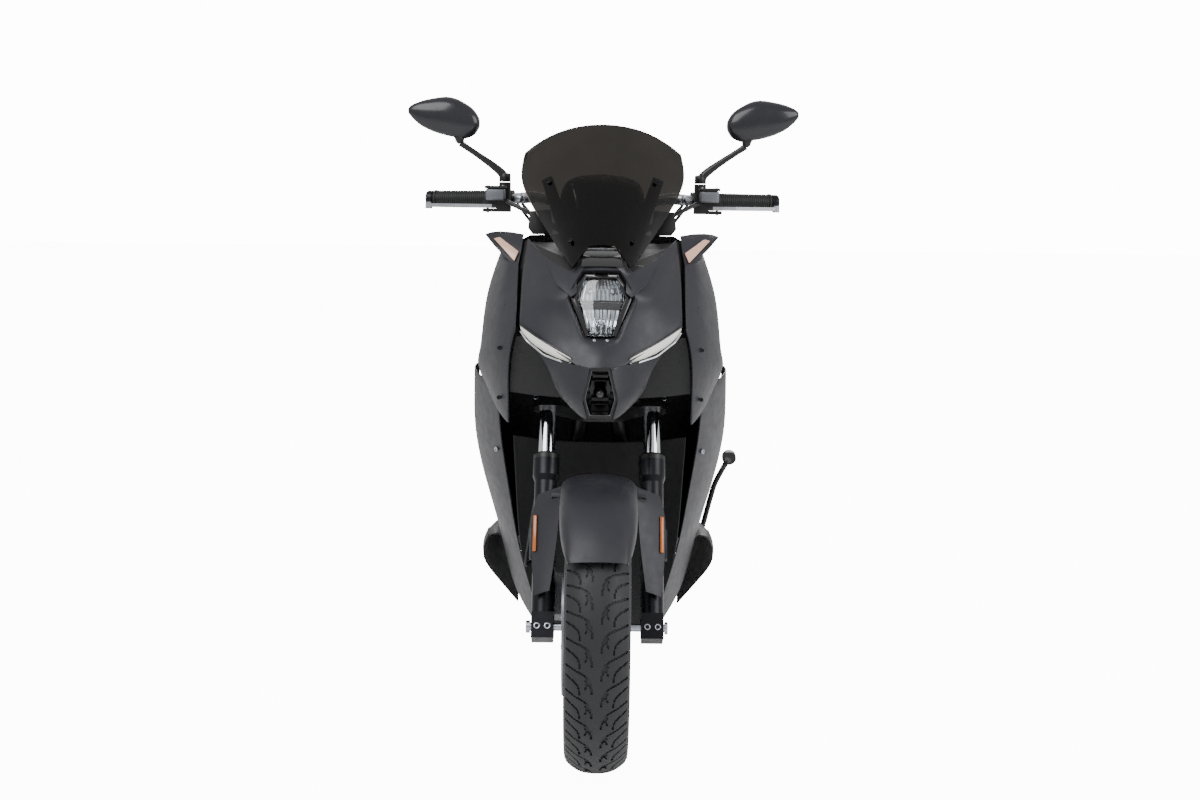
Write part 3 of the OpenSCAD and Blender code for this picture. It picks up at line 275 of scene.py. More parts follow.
# Painted die casting with a fine sandy skin.
CAST_GREY = Finish("painted_die_cast_aluminium", "#6b6e73", "#7a7d82", 0.42, 0.7, Grain.CAST)
# Bright satin aluminium: levers, clamps and the reservoir bodies.
SATIN_ALLOY = Finish("satin_aluminium", "#b9bcc2", "#c8cbd0", 0.26, 1.0, Grain.SATIN)
# Hard chrome on steel: the stanchions and damper rods.
HARD_CHROME = Finish("hard_chrome", "#d4d7dc", "#dcdfe3", 0.07, 1.0, Grain.NONE)
# Stainless brake disc, ground in circles.
DISC_STEEL = Finish("ground_stainless", "#8f9398", "#a5a8ad", 0.28, 1.0, brushed=14.0)
# Zinc-plated fasteners.
ZINC = Finish("zinc_plate", "#b4bac4", "#c9ced6", 0.22, 1.0, Grain.SATIN)
BLACK_STEEL = Finish("black_oxide_steel", "#1d1d20", "#26262a", 0.32, 0.8, Grain.SATIN)
# Natural and synthetic rubber: dull, with a faint blue bloom on the tread.
TREAD_RUBBER = Finish("tread_rubber", "#121417", "#16181c", 0.55, grain=Grain.SATIN, sheen=0.1)
GRIP_RUBBER = Finish("grip_rubber", "#111113", "#161618", 0.58, grain=Grain.SPARK)
HOSE_RUBBER = Finish("hose_rubber", "#0b0b0d", "#101012", 0.38, grain=Grain.SATIN)
# Polyurethane-coated seat cloth with a leather grain.
SEAT_COVER = Finish("grained_seat_cover", "#131316", "#19191d", 0.50, grain=Grain.LEATHER, sheen=0.15)
# Hard-coated polycarbonate.
CLEAR_LENS = Finish(
    "clear_polycarbonate", "#f4f7fa", "#ffffff", 0.02, grain=Grain.NONE, transmission=1.0, ior=1.58
)
SMOKED = Finish(
    "smoked_polycarbonate", "#37332f", "#3d3935", 0.03, grain=Grain.NONE, transmission=1.0, ior=1.3
)
LIGHT_GUIDE = Finish("frosted_light_guide", "#e9e8df", "#f6f5ee", 0.25, grain=Grain.NONE, glow=0.25)
AMBER_LENS = Finish("amber_acrylic", "#bd5c0b", "#cc6c12", 0.14, grain=Grain.NONE, coat=0.6)
PEACH_LENS = Finish("clear_amber_bulb_lens", "#d9a88f", "#e6bba4", 0.14, grain=Grain.NONE, coat=0.6)
RED_LENS = Finish("red_acrylic", "#7e0b10", "#98141a", 0.10, grain=Grain.NONE, coat=0.6)
REFLECTOR = Finish("vacuum_metallised_reflector", "#dfe3e8", "#f2f4f6", 0.06, 1.0, Grain.NONE)
MIRROR_GLASS = Finish("silvered_glass", "#c9d2da", "#d2dae1", 0.02, 1.0, Grain.NONE)
SPRING_ENAMEL = Finish("red_spring_enamel", "#8e1f22", "#9b2a2c", 0.28, 0.1, Grain.ORANGE_PEEL, coat=0.4)
DISPLAY = Finish("unlit_display", "#0d1118", "#141a24", 0.06, grain=Grain.NONE, coat=0.8)


# ---------------------------------------------------------------- modelling by operators


def deselect() -> None:
    """Leaves nothing selected."""
    if bpy.context.object and bpy.context.object.mode != "OBJECT":
        bpy.ops.object.mode_set(mode="OBJECT")
    bpy.ops.object.select_all(action="DESELECT")


def activate(piece: bpy.types.Object) -> None:
    """Makes one piece the only one selected."""
    deselect()
    piece.select_set(True)
    bpy.context.view_layer.objects.active = piece


def settle(piece: bpy.types.Object, name: str) -> bpy.types.Object:
    """Names a piece and puts its place, turn and scale into its mesh."""
    activate(piece)
    piece.name = name
    piece.data.name = name
    bpy.ops.object.transform_apply(location=True, rotation=True, scale=True)
    return piece


def smooth(piece: bpy.types.Object, degrees: float = 32.0) -> bpy.types.Object:
    """Shades a piece smooth, with its sharp edges kept."""
    activate(piece)
    bpy.ops.object.shade_smooth_by_angle(angle=math.radians(degrees))
    return piece


def change(piece: bpy.types.Object, kind: str, **settings: object) -> None:
    """Adds a modifier of one kind with its settings, in order, and applies it."""
    activate(piece)
    step = piece.modifiers.new(kind.lower(), kind)
    for name, value in settings.items():
        setattr(step, name, value)
    bpy.ops.object.modifier_apply(modifier=step.name)


def loose_copy(source: bpy.types.Object, name: str) -> bpy.types.Object:
    """Copies a CAD node without its parent or marks, in edit mode, with its points merged."""
    activate(source)
    bpy.ops.object.duplicate(linked=False)
    piece = bpy.context.object
    piece.parent = None
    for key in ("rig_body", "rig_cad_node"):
        if key in piece:
            del piece[key]
    piece.name = piece.data.name = name
    bpy.ops.object.mode_set(mode="EDIT")
    bpy.ops.mesh.select_all(action="SELECT")
    bpy.ops.mesh.remove_doubles(threshold=NODE_MERGE)
    return piece


def soften(
    piece: bpy.types.Object, width: float, segments: int = 2, degrees: float = 35.0
) -> bpy.types.Object:
    """Bevels the edges of a piece that are sharper than an angle.

    Args:
        piece: the piece.
        width: the bevel's width, in metres.
        segments: faces across the bevel.
        degrees: edges below this angle stay.

    Returns:
        The same piece.
    """
    limit = math.radians(degrees)
    change(piece, "BEVEL", width=width, segments=segments, limit_method="ANGLE", angle_limit=limit)
    return smooth(piece, 40.0)


def pick(piece: bpy.types.Object, test: Callable[[Vector, Vector], bool]) -> int:
    """Selects the faces that pass a test of centre and normal, and returns how many did."""
    bpy.ops.object.mode_set(mode="OBJECT")
    chosen = [test(face.center, face.normal) for face in piece.data.polygons]
    piece.data.vertices.foreach_set("select", [False] * len(piece.data.vertices))
    piece.data.edges.foreach_set("select", [False] * len(piece.data.edges))
    piece.data.polygons.foreach_set("select", chosen)
    bpy.ops.object.mode_set(mode="EDIT")
    bpy.ops.mesh.select_mode(type="FACE")
    return sum(chosen)


def outline(points: Sequence[Point], name: str) -> bpy.types.Object:
    """Draws a closed line through points by extruding one vertex.

    Args:
        points: the corners, in order.
        name: the new piece's name.

    Returns:
        A piece in edit mode, with only its edges.
    """
    deselect()
    bpy.ops.mesh.primitive_plane_add(size=0.01, location=(0, 0, 0))
    piece = bpy.context.object
    piece.name = name
    bpy.ops.object.mode_set(mode="EDIT")
    bpy.ops.mesh.select_mode(type="VERT")
    bpy.ops.mesh.merge(type="CENTER")
    bpy.ops.transform.translate(value=points[0])
    last = Vector(points[0])
    for point in points[1:]:
        step = Vector(point) - last
        bpy.ops.mesh.extrude_region_move(TRANSFORM_OT_translate={"value": step})
        last = Vector(point)
    return piece


def plate(points: Sequence[Point], push: Point, name: str) -> bpy.types.Object:
    """Makes a prism from an outline.

    Args:
        points: the corners of one face, in order.
        push: the way and distance to the other face.
        name: the new piece's name.

    Returns:
        The closed prism.
    """
    piece = outline(points, name)
    bpy.ops.mesh.select_all(action="SELECT")
    bpy.ops.mesh.edge_face_add()
    bpy.ops.mesh.extrude_region_move(TRANSFORM_OT_translate={"value": push})
    bpy.ops.mesh.select_all(action="SELECT")
    bpy.ops.mesh.normals_make_consistent(inside=False)
    bpy.ops.object.mode_set(mode="OBJECT")
    return settle(piece, name)


def turned(
    profile: Sequence[tuple[float, float]], name: str, centre: Vector, steps: int = 48, closed: bool = True
) -> bpy.types.Object:
    """Spins a profile about an axle along X.

    Args:
        profile: (radius, x) pairs in metres.
        name: the new piece's name.
        centre: a point on the axle.
        steps: faces round the turn.
        closed: joins the last pair to the first.

    Returns:
        The turned piece.
    """
    points = [(x, 0.0, radius) for radius, x in profile]
    piece = outline(points + points[:1] if closed else points, name)
    bpy.ops.mesh.select_all(action="SELECT")
    bpy.ops.mesh.remove_doubles(threshold=1e-6)
    bpy.ops.mesh.spin(steps=steps, angle=math.tau, center=(0, 0, 0), axis=(1, 0, 0))
    bpy.ops.mesh.select_all(action="SELECT")
    bpy.ops.mesh.remove_doubles(threshold=2e-6)
    bpy.ops.mesh.normals_make_consistent(inside=False)
    bpy.ops.object.mode_set(mode="OBJECT")
    piece.location = centre
    return settle(piece, name)


def block(low: Point, high: Point, name: str, edge: float = 0.002) -> bpy.types.Object:
    """Makes a box with softened edges between two corners."""
    deselect()
    middle = (Vector(low) + Vector(high)) / 2
    size = Vector(high) - Vector(low)
    bpy.ops.mesh.primitive_cube_add(size=1.0, location=middle)
    piece = bpy.context.object
    piece.scale = size
    settle(piece, name)
    return soften(piece, edge, 3)


def barrel(
    start: Vector, end: Vector, radius: float, name: str, edge: float = 0.001, sides: int = 32
) -> bpy.types.Object:
    """Makes a cylinder with softened rims between two points."""
    deselect()
    way = end - start
    bpy.ops.mesh.primitive_cylinder_add(
        vertices=sides, radius=radius, depth=way.length, location=(start + end) / 2,
        rotation=way.to_track_quat("Z", "Y").to_euler(),
    )
    piece = settle(bpy.context.object, name)
    return soften(piece, edge, 2, 50.0)


def cable(points: Sequence[Point], radius: float, name: str, order: int = 4) -> bpy.types.Object:
    """Makes a round tube along a smooth path.

    Args:
        points: the path's control points.
        radius: the tube's radius, in metres.
        name: the new piece's name.
        order: two for straight runs, four for a smooth one.

    Returns:
        The tube as a mesh.
    """
    while len(points) < PATH_POINTS:
        spots = [Vector(point) for point in points]
        points = [
            spot for pair in zip(spots, spots[1:]) for spot in (pair[0], pair[0].lerp(pair[1], 0.5))
        ] + [spots[-1]]
    deselect()
    bpy.ops.curve.primitive_nurbs_path_add(location=(0, 0, 0))
    piece = bpy.context.object
    path = piece.data.splines[0]
    path.points.add(max(len(points) - len(path.points), 0))
    for slot, point in enumerate(points):
        path.points[slot].co = (*point, 1.0)
    path.use_endpoint_u = True
    path.order_u = order
    path.resolution_u = 6
    piece.data.bevel_depth = radius
    piece.data.bevel_resolution = 3
    piece.data.use_fill_caps = True
    bpy.ops.object.convert(target="MESH")
    return smooth(settle(bpy.context.object, name), 60.0)


def bolt(centre: Vector, out: Vector, radius: float, name: str) -> bpy.types.Object:
    """Makes a socket-head bolt whose head stands on a face.

    Args:
        centre: the middle of the head's seat.
        out: the way the head faces.
        radius: the head's radius, in metres.
        name: the new piece's name.

    Returns:
        The bolt's head.
    """
    deselect()
    bpy.ops.mesh.primitive_cylinder_add(
        vertices=24, radius=radius, depth=radius * 0.9, location=(0, 0, radius * 0.45)
    )
    piece = bpy.context.object
    top = pick(piece, lambda c, n: n.z > 0.9)
    assert top
    bpy.ops.mesh.inset(thickness=radius * 0.42)
    bpy.ops.mesh.extrude_region_move(TRANSFORM_OT_translate={"value": (0, 0, -radius * 0.5)})
    bpy.ops.object.mode_set(mode="OBJECT")
    piece.matrix_world = Matrix.Translation(centre) @ out.to_track_quat("Z", "Y").to_matrix().to_4x4()
    settle(piece, name)
    return soften(piece, radius * 0.12, 2, 45.0)


def placed_copy(piece: bpy.types.Object, place: Matrix, name: str) -> bpy.types.Object:
    """Copies a piece with its own mesh and moves the copy.

    Args:
        piece: the piece to copy.
        place: the move, which may mirror.
        name: the copy's name.

    Returns:
        The copy.
    """
    activate(piece)
    bpy.ops.object.duplicate(linked=False)
    twin = bpy.context.object
    twin.matrix_world = place @ twin.matrix_world
    settle(twin, name)
    if place.determinant() < 0:
        bpy.ops.object.mode_set(mode="EDIT")
        bpy.ops.mesh.select_all(action="SELECT")
        bpy.ops.mesh.flip_normals()
        bpy.ops.object.mode_set(mode="OBJECT")
    return twin


MIRROR_X = Matrix.Scale(-1.0, 4, Vector((1, 0, 0)))


@dataclass
class Assembly:
    """A group of pieces that ride on one or more bodies."""

    frame: dict
    count: int = field(default=0, init=False)

    def dress(self, piece: bpy.types.Object, finish: Finish, body: str, slot: str = "") -> bpy.types.Object:
        """Gives a new piece its finish and its body.

        Args:
            piece: the piece.
            finish: what it is made of.
            body: the CAD body that it rides on.
            slot: the record's material slot, if it has one of its own; not used.

        Returns:
            The same piece.
        """
        piece.data.materials.clear()
        piece.data.materials.append(finish.build())
        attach(piece, body)
        self.count += 1
        return piece

    def both(
        self, piece: bpy.types.Object, finish: Finish, body: str, other: str = "", slot: str = ""
    ) -> None:
        """Dresses a left piece and a mirrored copy of it on the right."""
        twin = placed_copy(piece, MIRROR_X, piece.name + "_right")
        self.dress(piece, finish, body, slot)
        self.dress(twin, finish, other or body, slot)

    def cad(self, node: str, finish: Finish, degrees: float = 30.0) -> bpy.types.Object:
        """Keeps a CAD node's shape and gives it a finish."""
        piece = self.frame["nodes"][node]
        piece.data.materials.clear()
        piece.data.materials.append(finish.build())
        smooth(piece, degrees)
        self.count += 1
        return piece

    def edged(self, node: str, finish: Finish, width: float) -> bpy.types.Object:
        """Keeps a CAD node and rounds its hard edges with a live bevel."""
        piece = self.cad(node, finish, 35.0)
        edge = piece.modifiers.new("edge", "BEVEL")
        edge.width, edge.segments = width, 2
        edge.limit_method, edge.angle_limit = "ANGLE", math.radians(50.0)
        edge.use_clamp_overlap = True
        return piece

    def shell(
        self, node: str, body: str, finish: Finish, crease: float = 38.0, levels: int = 2
    ) -> bpy.types.Object:
        """Replaces a faceted CAD panel with a smooth one over the same points.

        Args:
            node: the CAD node.
            body: the body it rides on.
            finish: what it is made of.
            crease: edges above this angle stay sharp, in degrees.
            levels: subdivision levels.

        Returns:
            The smooth panel.
        """
        piece = loose_copy(self.frame["nodes"][node], node + "_skin")
        bpy.ops.mesh.tris_convert_to_quads(face_threshold=math.pi, shape_threshold=math.pi)
        bpy.ops.mesh.select_mode(type="EDGE")
        bpy.ops.mesh.select_all(action="DESELECT")
        bpy.ops.mesh.edges_select_sharp(sharpness=math.radians(crease))
        bpy.ops.transform.edge_crease(value=0.9)
        bpy.ops.object.mode_set(mode="OBJECT")
        if levels:
            change(piece, "SUBSURF", levels=levels, render_levels=levels)
        smooth(piece, 35.0)
        self.dress(piece, finish, body, node)
        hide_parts(node)
        return piece


def at(x: float, y: float, z: float) -> Vector:
    """Turns millimetres in the scooter's frame into metres."""
    return Vector((x, y, z)) / 1000


def on_fork(x: float, y: float, z: float) -> Vector:
    """Turns millimetres in the fork's frame, whose origin is the front axle, into metres."""
    return FORK_FRAME @ at(x, y, z)


FORK_UP = on_fork(0, 0, 1) - on_fork(0, 0, 0)
FORK_AHEAD = on_fork(0, -1, 0) - on_fork(0, 0, 0)


def spots(points: Sequence[Point], side: int = 1) -> list[Vector]:
    """Turns rows of millimetres into metres, mirrored where side is -1."""
    return [at(x * side, y, z) for x, y, z in points]


def ribbon(
    profile: Sequence[Point], runs: Sequence[tuple[Point, float]], name: str, thickness: float = 0.0016
) -> bpy.types.Object:
    """Extrudes an open profile in steps, each with a move and a scale about the middle.

    Args:
        profile: the points of the open line, in metres.
        runs: a move and a width factor for each step.
        name: the new piece's name.
        thickness: the wall's thickness, in metres.

    Returns:
        The thickened wall.
    """
    piece = outline(profile, name)
    bpy.ops.mesh.select_all(action="SELECT")
    middle = Vector((0.0, profile[len(profile) // 2][1], profile[0][2]))
    for move, factor in runs:
        bpy.ops.mesh.extrude_edges_move(TRANSFORM_OT_translate={"value": move})
        middle = middle + Vector(move)
        bpy.ops.transform.resize(value=(factor, 1, 1), center_override=middle)
    bpy.ops.mesh.select_all(action="SELECT")
    bpy.ops.mesh.normals_make_consistent(inside=False)
    bpy.ops.object.mode_set(mode="OBJECT")
    change(piece, "SOLIDIFY", thickness=thickness)
    return smooth(settle(piece, name), 30.0)


def lathe(
    profile: Sequence[tuple[float, float]], foot: Vector, way: Vector, name: str, steps: int = 40
) -> bpy.types.Object:
    """Turns (radius, distance) pairs in millimetres about a line that starts at foot and runs along way."""
    piece = turned([(r / 1000, d / 1000) for r, d in profile], name, Vector((0, 0, 0)), steps)
    piece.matrix_world = Matrix.Translation(foot) @ way.to_track_quat("X", "Z").to_matrix().to_4x4()
    return smooth(settle(piece, name), 38.0)


@dataclass
class Studio:
    """The camera, the floor and the lights."""

    def build(self) -> None:
        """Sets up everything that isn't the scooter."""
        self.camera()
        self.floor()
        self.lights()

    def camera(self) -> None:
        """Places the camera level with the nose, a little above it."""
        deselect()
        bpy.ops.object.camera_add(location=(0.0, -3.805, 1.100))
        camera = bpy.context.object
        turn = Matrix.Rotation(math.radians(90 - 7.1), 4, "X") @ Matrix.Rotation(math.radians(0.7), 4, "Z")
        camera.rotation_euler = turn.to_euler()
        camera.data.lens = 49.68
        camera.data.sensor_width = 36.0
        bpy.context.scene.camera = camera

    def floor(self) -> None:
        """Lays a large pale floor."""
        deselect()
        bpy.ops.mesh.primitive_plane_add(size=60.0, location=(0, 0, 0))
        floor = settle(bpy.context.object, "studio_floor")
        paint = bpy.data.materials.new("studio_floor")
        paint.use_nodes = True
        tree = paint.node_tree
        shader = tree.nodes["Principled BSDF"]
        shader.inputs["Base Color"].default_value = linear("#f4f4f4")
        shader.inputs["Roughness"].default_value = 0.9
        shader.inputs["Emission Color"].default_value = (1.0, 1.0, 1.0, 1.0)
        self.seen(tree, shader.inputs["Emission Strength"], 0.0, 12.0)
        floor.data.materials.append(paint)

    def seen(self, tree: bpy.types.NodeTree, target: Socket, lit: float, plain: float) -> None:
        """Gives a socket one value for light that falls on things and another for what the camera sees."""
        path = tree.nodes.new("ShaderNodeLightPath")
        scale = tree.nodes.new("ShaderNodeMapRange")
        scale.inputs["To Min"].default_value = lit
        scale.inputs["To Max"].default_value = plain
        tree.links.new(path.outputs["Is Camera Ray"], scale.inputs["Value"])
        tree.links.new(scale.outputs["Result"], target)

    def lights(self) -> None:
        """Hangs wide soft lights above and beside the scooter, with a bright room around it."""
        world = bpy.context.scene.world or bpy.data.worlds.new("studio")
        bpy.context.scene.world = world
        world.use_nodes = True
        back = world.node_tree.nodes["Background"]
        back.inputs["Color"].default_value = (1.0, 1.0, 1.0, 1.0)
        self.seen(world.node_tree, back.inputs["Strength"], 0.75, 14.0)
        for name, place, aim, size, power in (
            ("key", (-1.6, -2.6, 3.4), (0, -0.5, 0.7), 2.4, 90.0),
            ("fill", (2.6, -2.2, 2.2), (0, -0.4, 0.6), 2.0, 50.0),
            ("rim", (0.6, 3.2, 2.8), (0, 0, 0.8), 2.4, 90.0),
        ):
            deselect()
            bpy.ops.object.light_add(type="AREA", location=place)
            lamp = bpy.context.object
            lamp.name = name
            lamp.data.size = size
            lamp.data.energy = power
            way = Vector(aim) - Vector(place)
            lamp.rotation_euler = way.to_track_quat("-Z", "Y").to_euler()


@dataclass
class Bodywork(Assembly):
    """The painted and moulded panels, the frame behind them and the seat tub."""

    def build(self) -> None:
        """Skins every panel."""
        for node in ("nose_cowl", "front_fairings", "leg_shields", "tail_covers"):
            self.shell(node, "frame", MATT_PAINT)
        for node in ("inner_shield", "floorboards", "fender_liner", "tunnel_cover", "dash_cowl"):
            self.shell(node, "frame", BLACK_MOULDING, 40.0, 1)
        self.edged("rear_mudguard", BLACK_MOULDING, 0.002)
        self.edged("seat_tub", BLACK_MOULDING, 0.002)
        self.shell("main_frame", "frame", POWDER_COAT, 35.0, 0)
        self.shell("grab_rail", "frame", CAST_GREY, 50.0, 2)
        self.edged("fuel_lid", SATIN_PAINT, 0.0015)
        self.edged("glovebox_lid", BLACK_MOULDING, 0.0018)
        self.mats()
        self.seams()

    def mats(self) -> None:
        """Lays ribbed rubber mats on the footboards."""
        for side in (-1, 1):
            base = block(
                at(min(146 * side, 193 * side), -112, 298), at(max(146 * side, 193 * side), 158, 302),
                f"mat_{side}"
            )
            self.dress(base, GRIP_RUBBER, "frame")
            for rib in range(9):
                y = -104 + rib * 29
                bar = block(
                    at(min(149 * side, 190 * side), y, 301), at(max(149 * side, 190 * side), y + 9, 304),
                    f"mat_rib_{side}_{rib}", 0.001
                )
                self.dress(bar, GRIP_RUBBER, "frame")

    def seams(self) -> None:
        """Puts screws where panels meet."""
        for x, y, z in ((186, -566, 880), (197, -590, 800), (199, -568, 700)):
            head = bolt(at(x, y - 3, z), Vector((0.2, -1, 0)), 0.0042, f"panel_screw_{z}")
            self.both(head, BLACK_STEEL, "frame")
        joint = plate(
            spots(
                [
                    (230, -440, 690), (243, -376, 708), (252, -335, 722), (257, -262, 722), (252, -262, 772),
                    (248, -335, 782), (240, -374, 772), (229, -438, 748)
                ]
            ),
            at(-3, 0, 0), "fairing_joint"
        )
        self.both(joint, BLACK_MOULDING, "frame")
        strip = (
            (148, -484, 1006), (170, -472, 1000), (177, -512, 950), (180, -552, 892), (180, -592, 842),
            (152, -612, 842), (150, -580, 892), (150, -530, 950)
        )
        backing = plate(spots(strip), (0, 0.003, 0), "seam_backing")
        self.both(backing, BLACK_MOULDING, "frame")
        for x, y, z in ((211, -445, 578), (186, -372, 440)):
            head = bolt(at(x, y - 3, z), Vector((0.7, -0.7, 0)), 0.005, f"shield_screw_{z}")
            self.both(head, ZINC, "frame")


@dataclass
class Headlight(Assembly):
    """The two-storey headlight with its reflectors, its divider and its clear cover."""

    def build(self) -> None:
        """Makes the lamp."""
        self.edged("headlight_housing", PIANO_BLACK, 0.0015)
        self.shell("headlight_lens", "frame", CLEAR_LENS, 45.0, 2)
        self.reflectors()
        self.bezel()

    def reflectors(self) -> None:
        """Makes a fluted upper bowl and a faceted lower one."""
        flutes = 72
        upper = []
        for step in range(flutes + 1):
            share = step / flutes * 2 - 1
            wave = abs(math.sin(step / flutes * math.pi * 12)) * 0.0016
            upper.append((0.044 * share, -0.618 - 0.028 * share**2 - wave, 0.896))
        bowl = ribbon(
            upper, [((0, 0.002, 0.014), 0.96), ((0, 0.004, 0.014), 0.90), ((0, -0.010, 0.012), 0.88)],
            "upper_reflector"
        )
        self.dress(bowl, REFLECTOR, "frame")
        lower = []
        for step in range(61):
            share = step / 60 * 2 - 1
            wave = abs(math.sin(step / 60 * math.pi * 5)) * 0.004
            lower.append((0.034 * share, -0.648 - 0.018 * share**2 - wave, 0.880))
        bowl = ribbon(
            lower,
            [
                ((0, 0.003, -0.012), 0.94), ((0, -0.002, -0.012), 0.90), ((0, -0.008, -0.012), 0.88),
                ((0, -0.018, -0.010), 0.86)
            ],
            "lower_reflector"
        )
        self.dress(bowl, REFLECTOR, "frame")
        for side in (-1, 1):
            bulb = lathe(
                [(0, 0), (6, 0), (7, 6), (5, 16), (0, 19)], at(22 * side, -622, 915), Vector((0, -1, -0.1)),
                f"projector_{side}"
            )
            self.dress(bulb, HARD_CHROME, "frame")
        bulb = lathe(
            [(0, 0), (7, 0), (8, 6), (6, 14), (0, 18)], at(0, -655, 858), Vector((0, -1, -0.1)),
            "lower_projector"
        )
        self.dress(bulb, HARD_CHROME, "frame")

    def bezel(self) -> None:
        """Makes the painted band between the two bowls, the black rims, the side bars and the screws in the
        lower lip.
        """
        band = plate(
            [
                (-0.051, -0.664, 0.893), (0.051, -0.664, 0.893), (0.045, -0.668, 0.883),
                (-0.045, -0.668, 0.883)
            ],
            (0, 0.020, 0.002), "lamp_divider"
        )
        self.dress(soften(band, 0.0015), MATT_PAINT, "frame")
        for side in (-1, 1):
            frame = (
                (30, -663, 950), (60, -674, 907), (28, -701, 832), (23, -702, 840), (38, -687, 884),
                (46, -680, 904), (30, -664, 941)
            )
            rim = plate(spots(frame, side), (0, -0.0025, 0), f"lamp_rim_{side}")
            self.dress(soften(rim, 0.0008), PIANO_BLACK, "frame")
            bar = plate(
                [
                    at(52 * side, -662, 893), at(40 * side, -669, 883), at(22 * side, -691, 836),
                    at(28 * side, -690, 836)
                ],
                (0, 0.014, 0.002), f"lamp_side_bar_{side}",
            )
            self.dress(soften(bar, 0.0012), MATT_PAINT, "frame")
            screw = bolt(at(12 * side, -703, 826), Vector((0, -1, 0.3)), 0.0026, f"lip_screw_{side}")
            self.dress(screw, ZINC, "frame")


@dataclass
class PositionLights(Assembly):
    """The pair of slanting daytime lights with their dividers and bright trim."""

    top: tuple[Point, ...] = (
        (155, -642, 846), (148, -650, 843), (113, -685, 822), (64, -716, 799), (55, -721, 793)
    )
    low: tuple[Point, ...] = (
        (154, -639, 840), (142, -644, 822), (107, -678, 798), (60, -709, 785), (54, -716, 789)
    )

    def build(self) -> None:
        """Makes both lights."""
        self.shell("position_lights", "frame", LIGHT_GUIDE, 30.0, 1)
        trim = cable([at(x, y - 2, z - 3) for x, y, z in self.low], 0.0018, "light_trim", 2)
        self.both(trim, HARD_CHROME, "frame")
        brow = cable([at(x, y - 1, z + 3) for x, y, z in self.top], 0.0012, "light_brow", 2)
        self.both(brow, PIANO_BLACK, "frame")
        for number, share in enumerate((0.22, 0.42, 0.62, 0.82)):
            high = at(*self.top[1]).lerp(at(*self.top[3]), share) + at(0, -0.6, 0)
            down = at(*self.low[1]).lerp(at(*self.low[3]), share) + at(0, -0.6, 0)
            rib = barrel(high, down, 0.0011, f"light_divider_{number}", 0.0003, 12)
            self.both(rib, PIANO_BLACK, "frame")


@dataclass
class Duct(Assembly):
    """The dark hexagonal intake in the beak with its bright ring and its small camera."""

    hexagon: tuple[tuple[float, float], ...] = (
        (-18, 779), (18, 779), (32, 720), (22, 684), (-22, 684), (-32, 720)
    )

    def build(self) -> None:
        """Makes the intake."""
        self.edged("nose_duct", PIANO_BLACK, 0.001)
        ring = [at(x * 0.90, -742, 727 + (z - 727) * 0.90) for x, z in self.hexagon]
        loop = cable([*ring, ring[0]], 0.0016, "duct_ring", 2)
        self.dress(loop, CAST_GREY, "frame")
        cone = lathe(
            [(0, 0), (13, 0), (12, 10), (8, 26), (7, 40), (0, 40)], at(0, -690, 727), Vector((0, -1, 0)),
            "camera_cone"
        )
        self.dress(cone, BLACK_MOULDING, "frame")
        eye = lathe(
            [(0, 0), (5.5, 0), (5, 1.6), (3, 2.6), (0, 3)], at(0, -729.5, 727), Vector((0, -1, 0)),
            "camera_eye", 24
        )
        self.dress(eye, DISPLAY, "frame")
        for z in (705, 750):
            slat = block(at(-17, -700, z - 1.5), at(17, -660, z + 1.5), f"duct_slat_{z}", 0.0006)
            self.dress(slat, BLACK_MOULDING, "frame")


@dataclass
class Signals(Assembly):
    """The turn signals in the fairing's ears, front and back, and the tail light."""

    def build(self) -> None:
        """Makes the lights."""
        self.shell("front_signals", "frame", MATT_PAINT, 34.0, 1)
        lens = plate(
            spots([(216, -469, 1008), (204, -471, 1011), (164, -505, 984), (172, -517, 965)]),
            (0.0015, -0.005, 0.001), "front_signal_lens"
        )
        self.both(soften(lens, 0.0018, 3), PEACH_LENS, "frame")
        neck = plate(
            spots(
                [
                    (166, -520, 946), (186, -502, 952), (202, -458, 958), (204, -455, 984), (196, -488, 984),
                    (168, -518, 966)
                ]
            ),
            (-0.002, 0.005, 0), "signal_neck"
        )
        self.both(neck, MATT_PAINT, "frame")
        self.shell("tail_light", "frame", RED_LENS, 40.0, 2)
        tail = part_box("rear_mudguard")
        for side in (-1, 1):
            lamp = lathe(
                [(0, 0), (13, 0), (15.5, 4), (14, 10), (8, 14), (0, 15)], at(106 * side, 942, 690),
                Vector((0, 1, 0)), f"rear_signal_{side}"
            )
            self.dress(lamp, AMBER_LENS, "frame")
        mark = block(
            Vector((-0.02, tail[1].y - 0.004, 0.53)), Vector((0.02, tail[1].y - 0.0002, 0.55)),
            "rear_reflector", 0.001
        )
        self.dress(mark, RED_LENS, "frame")


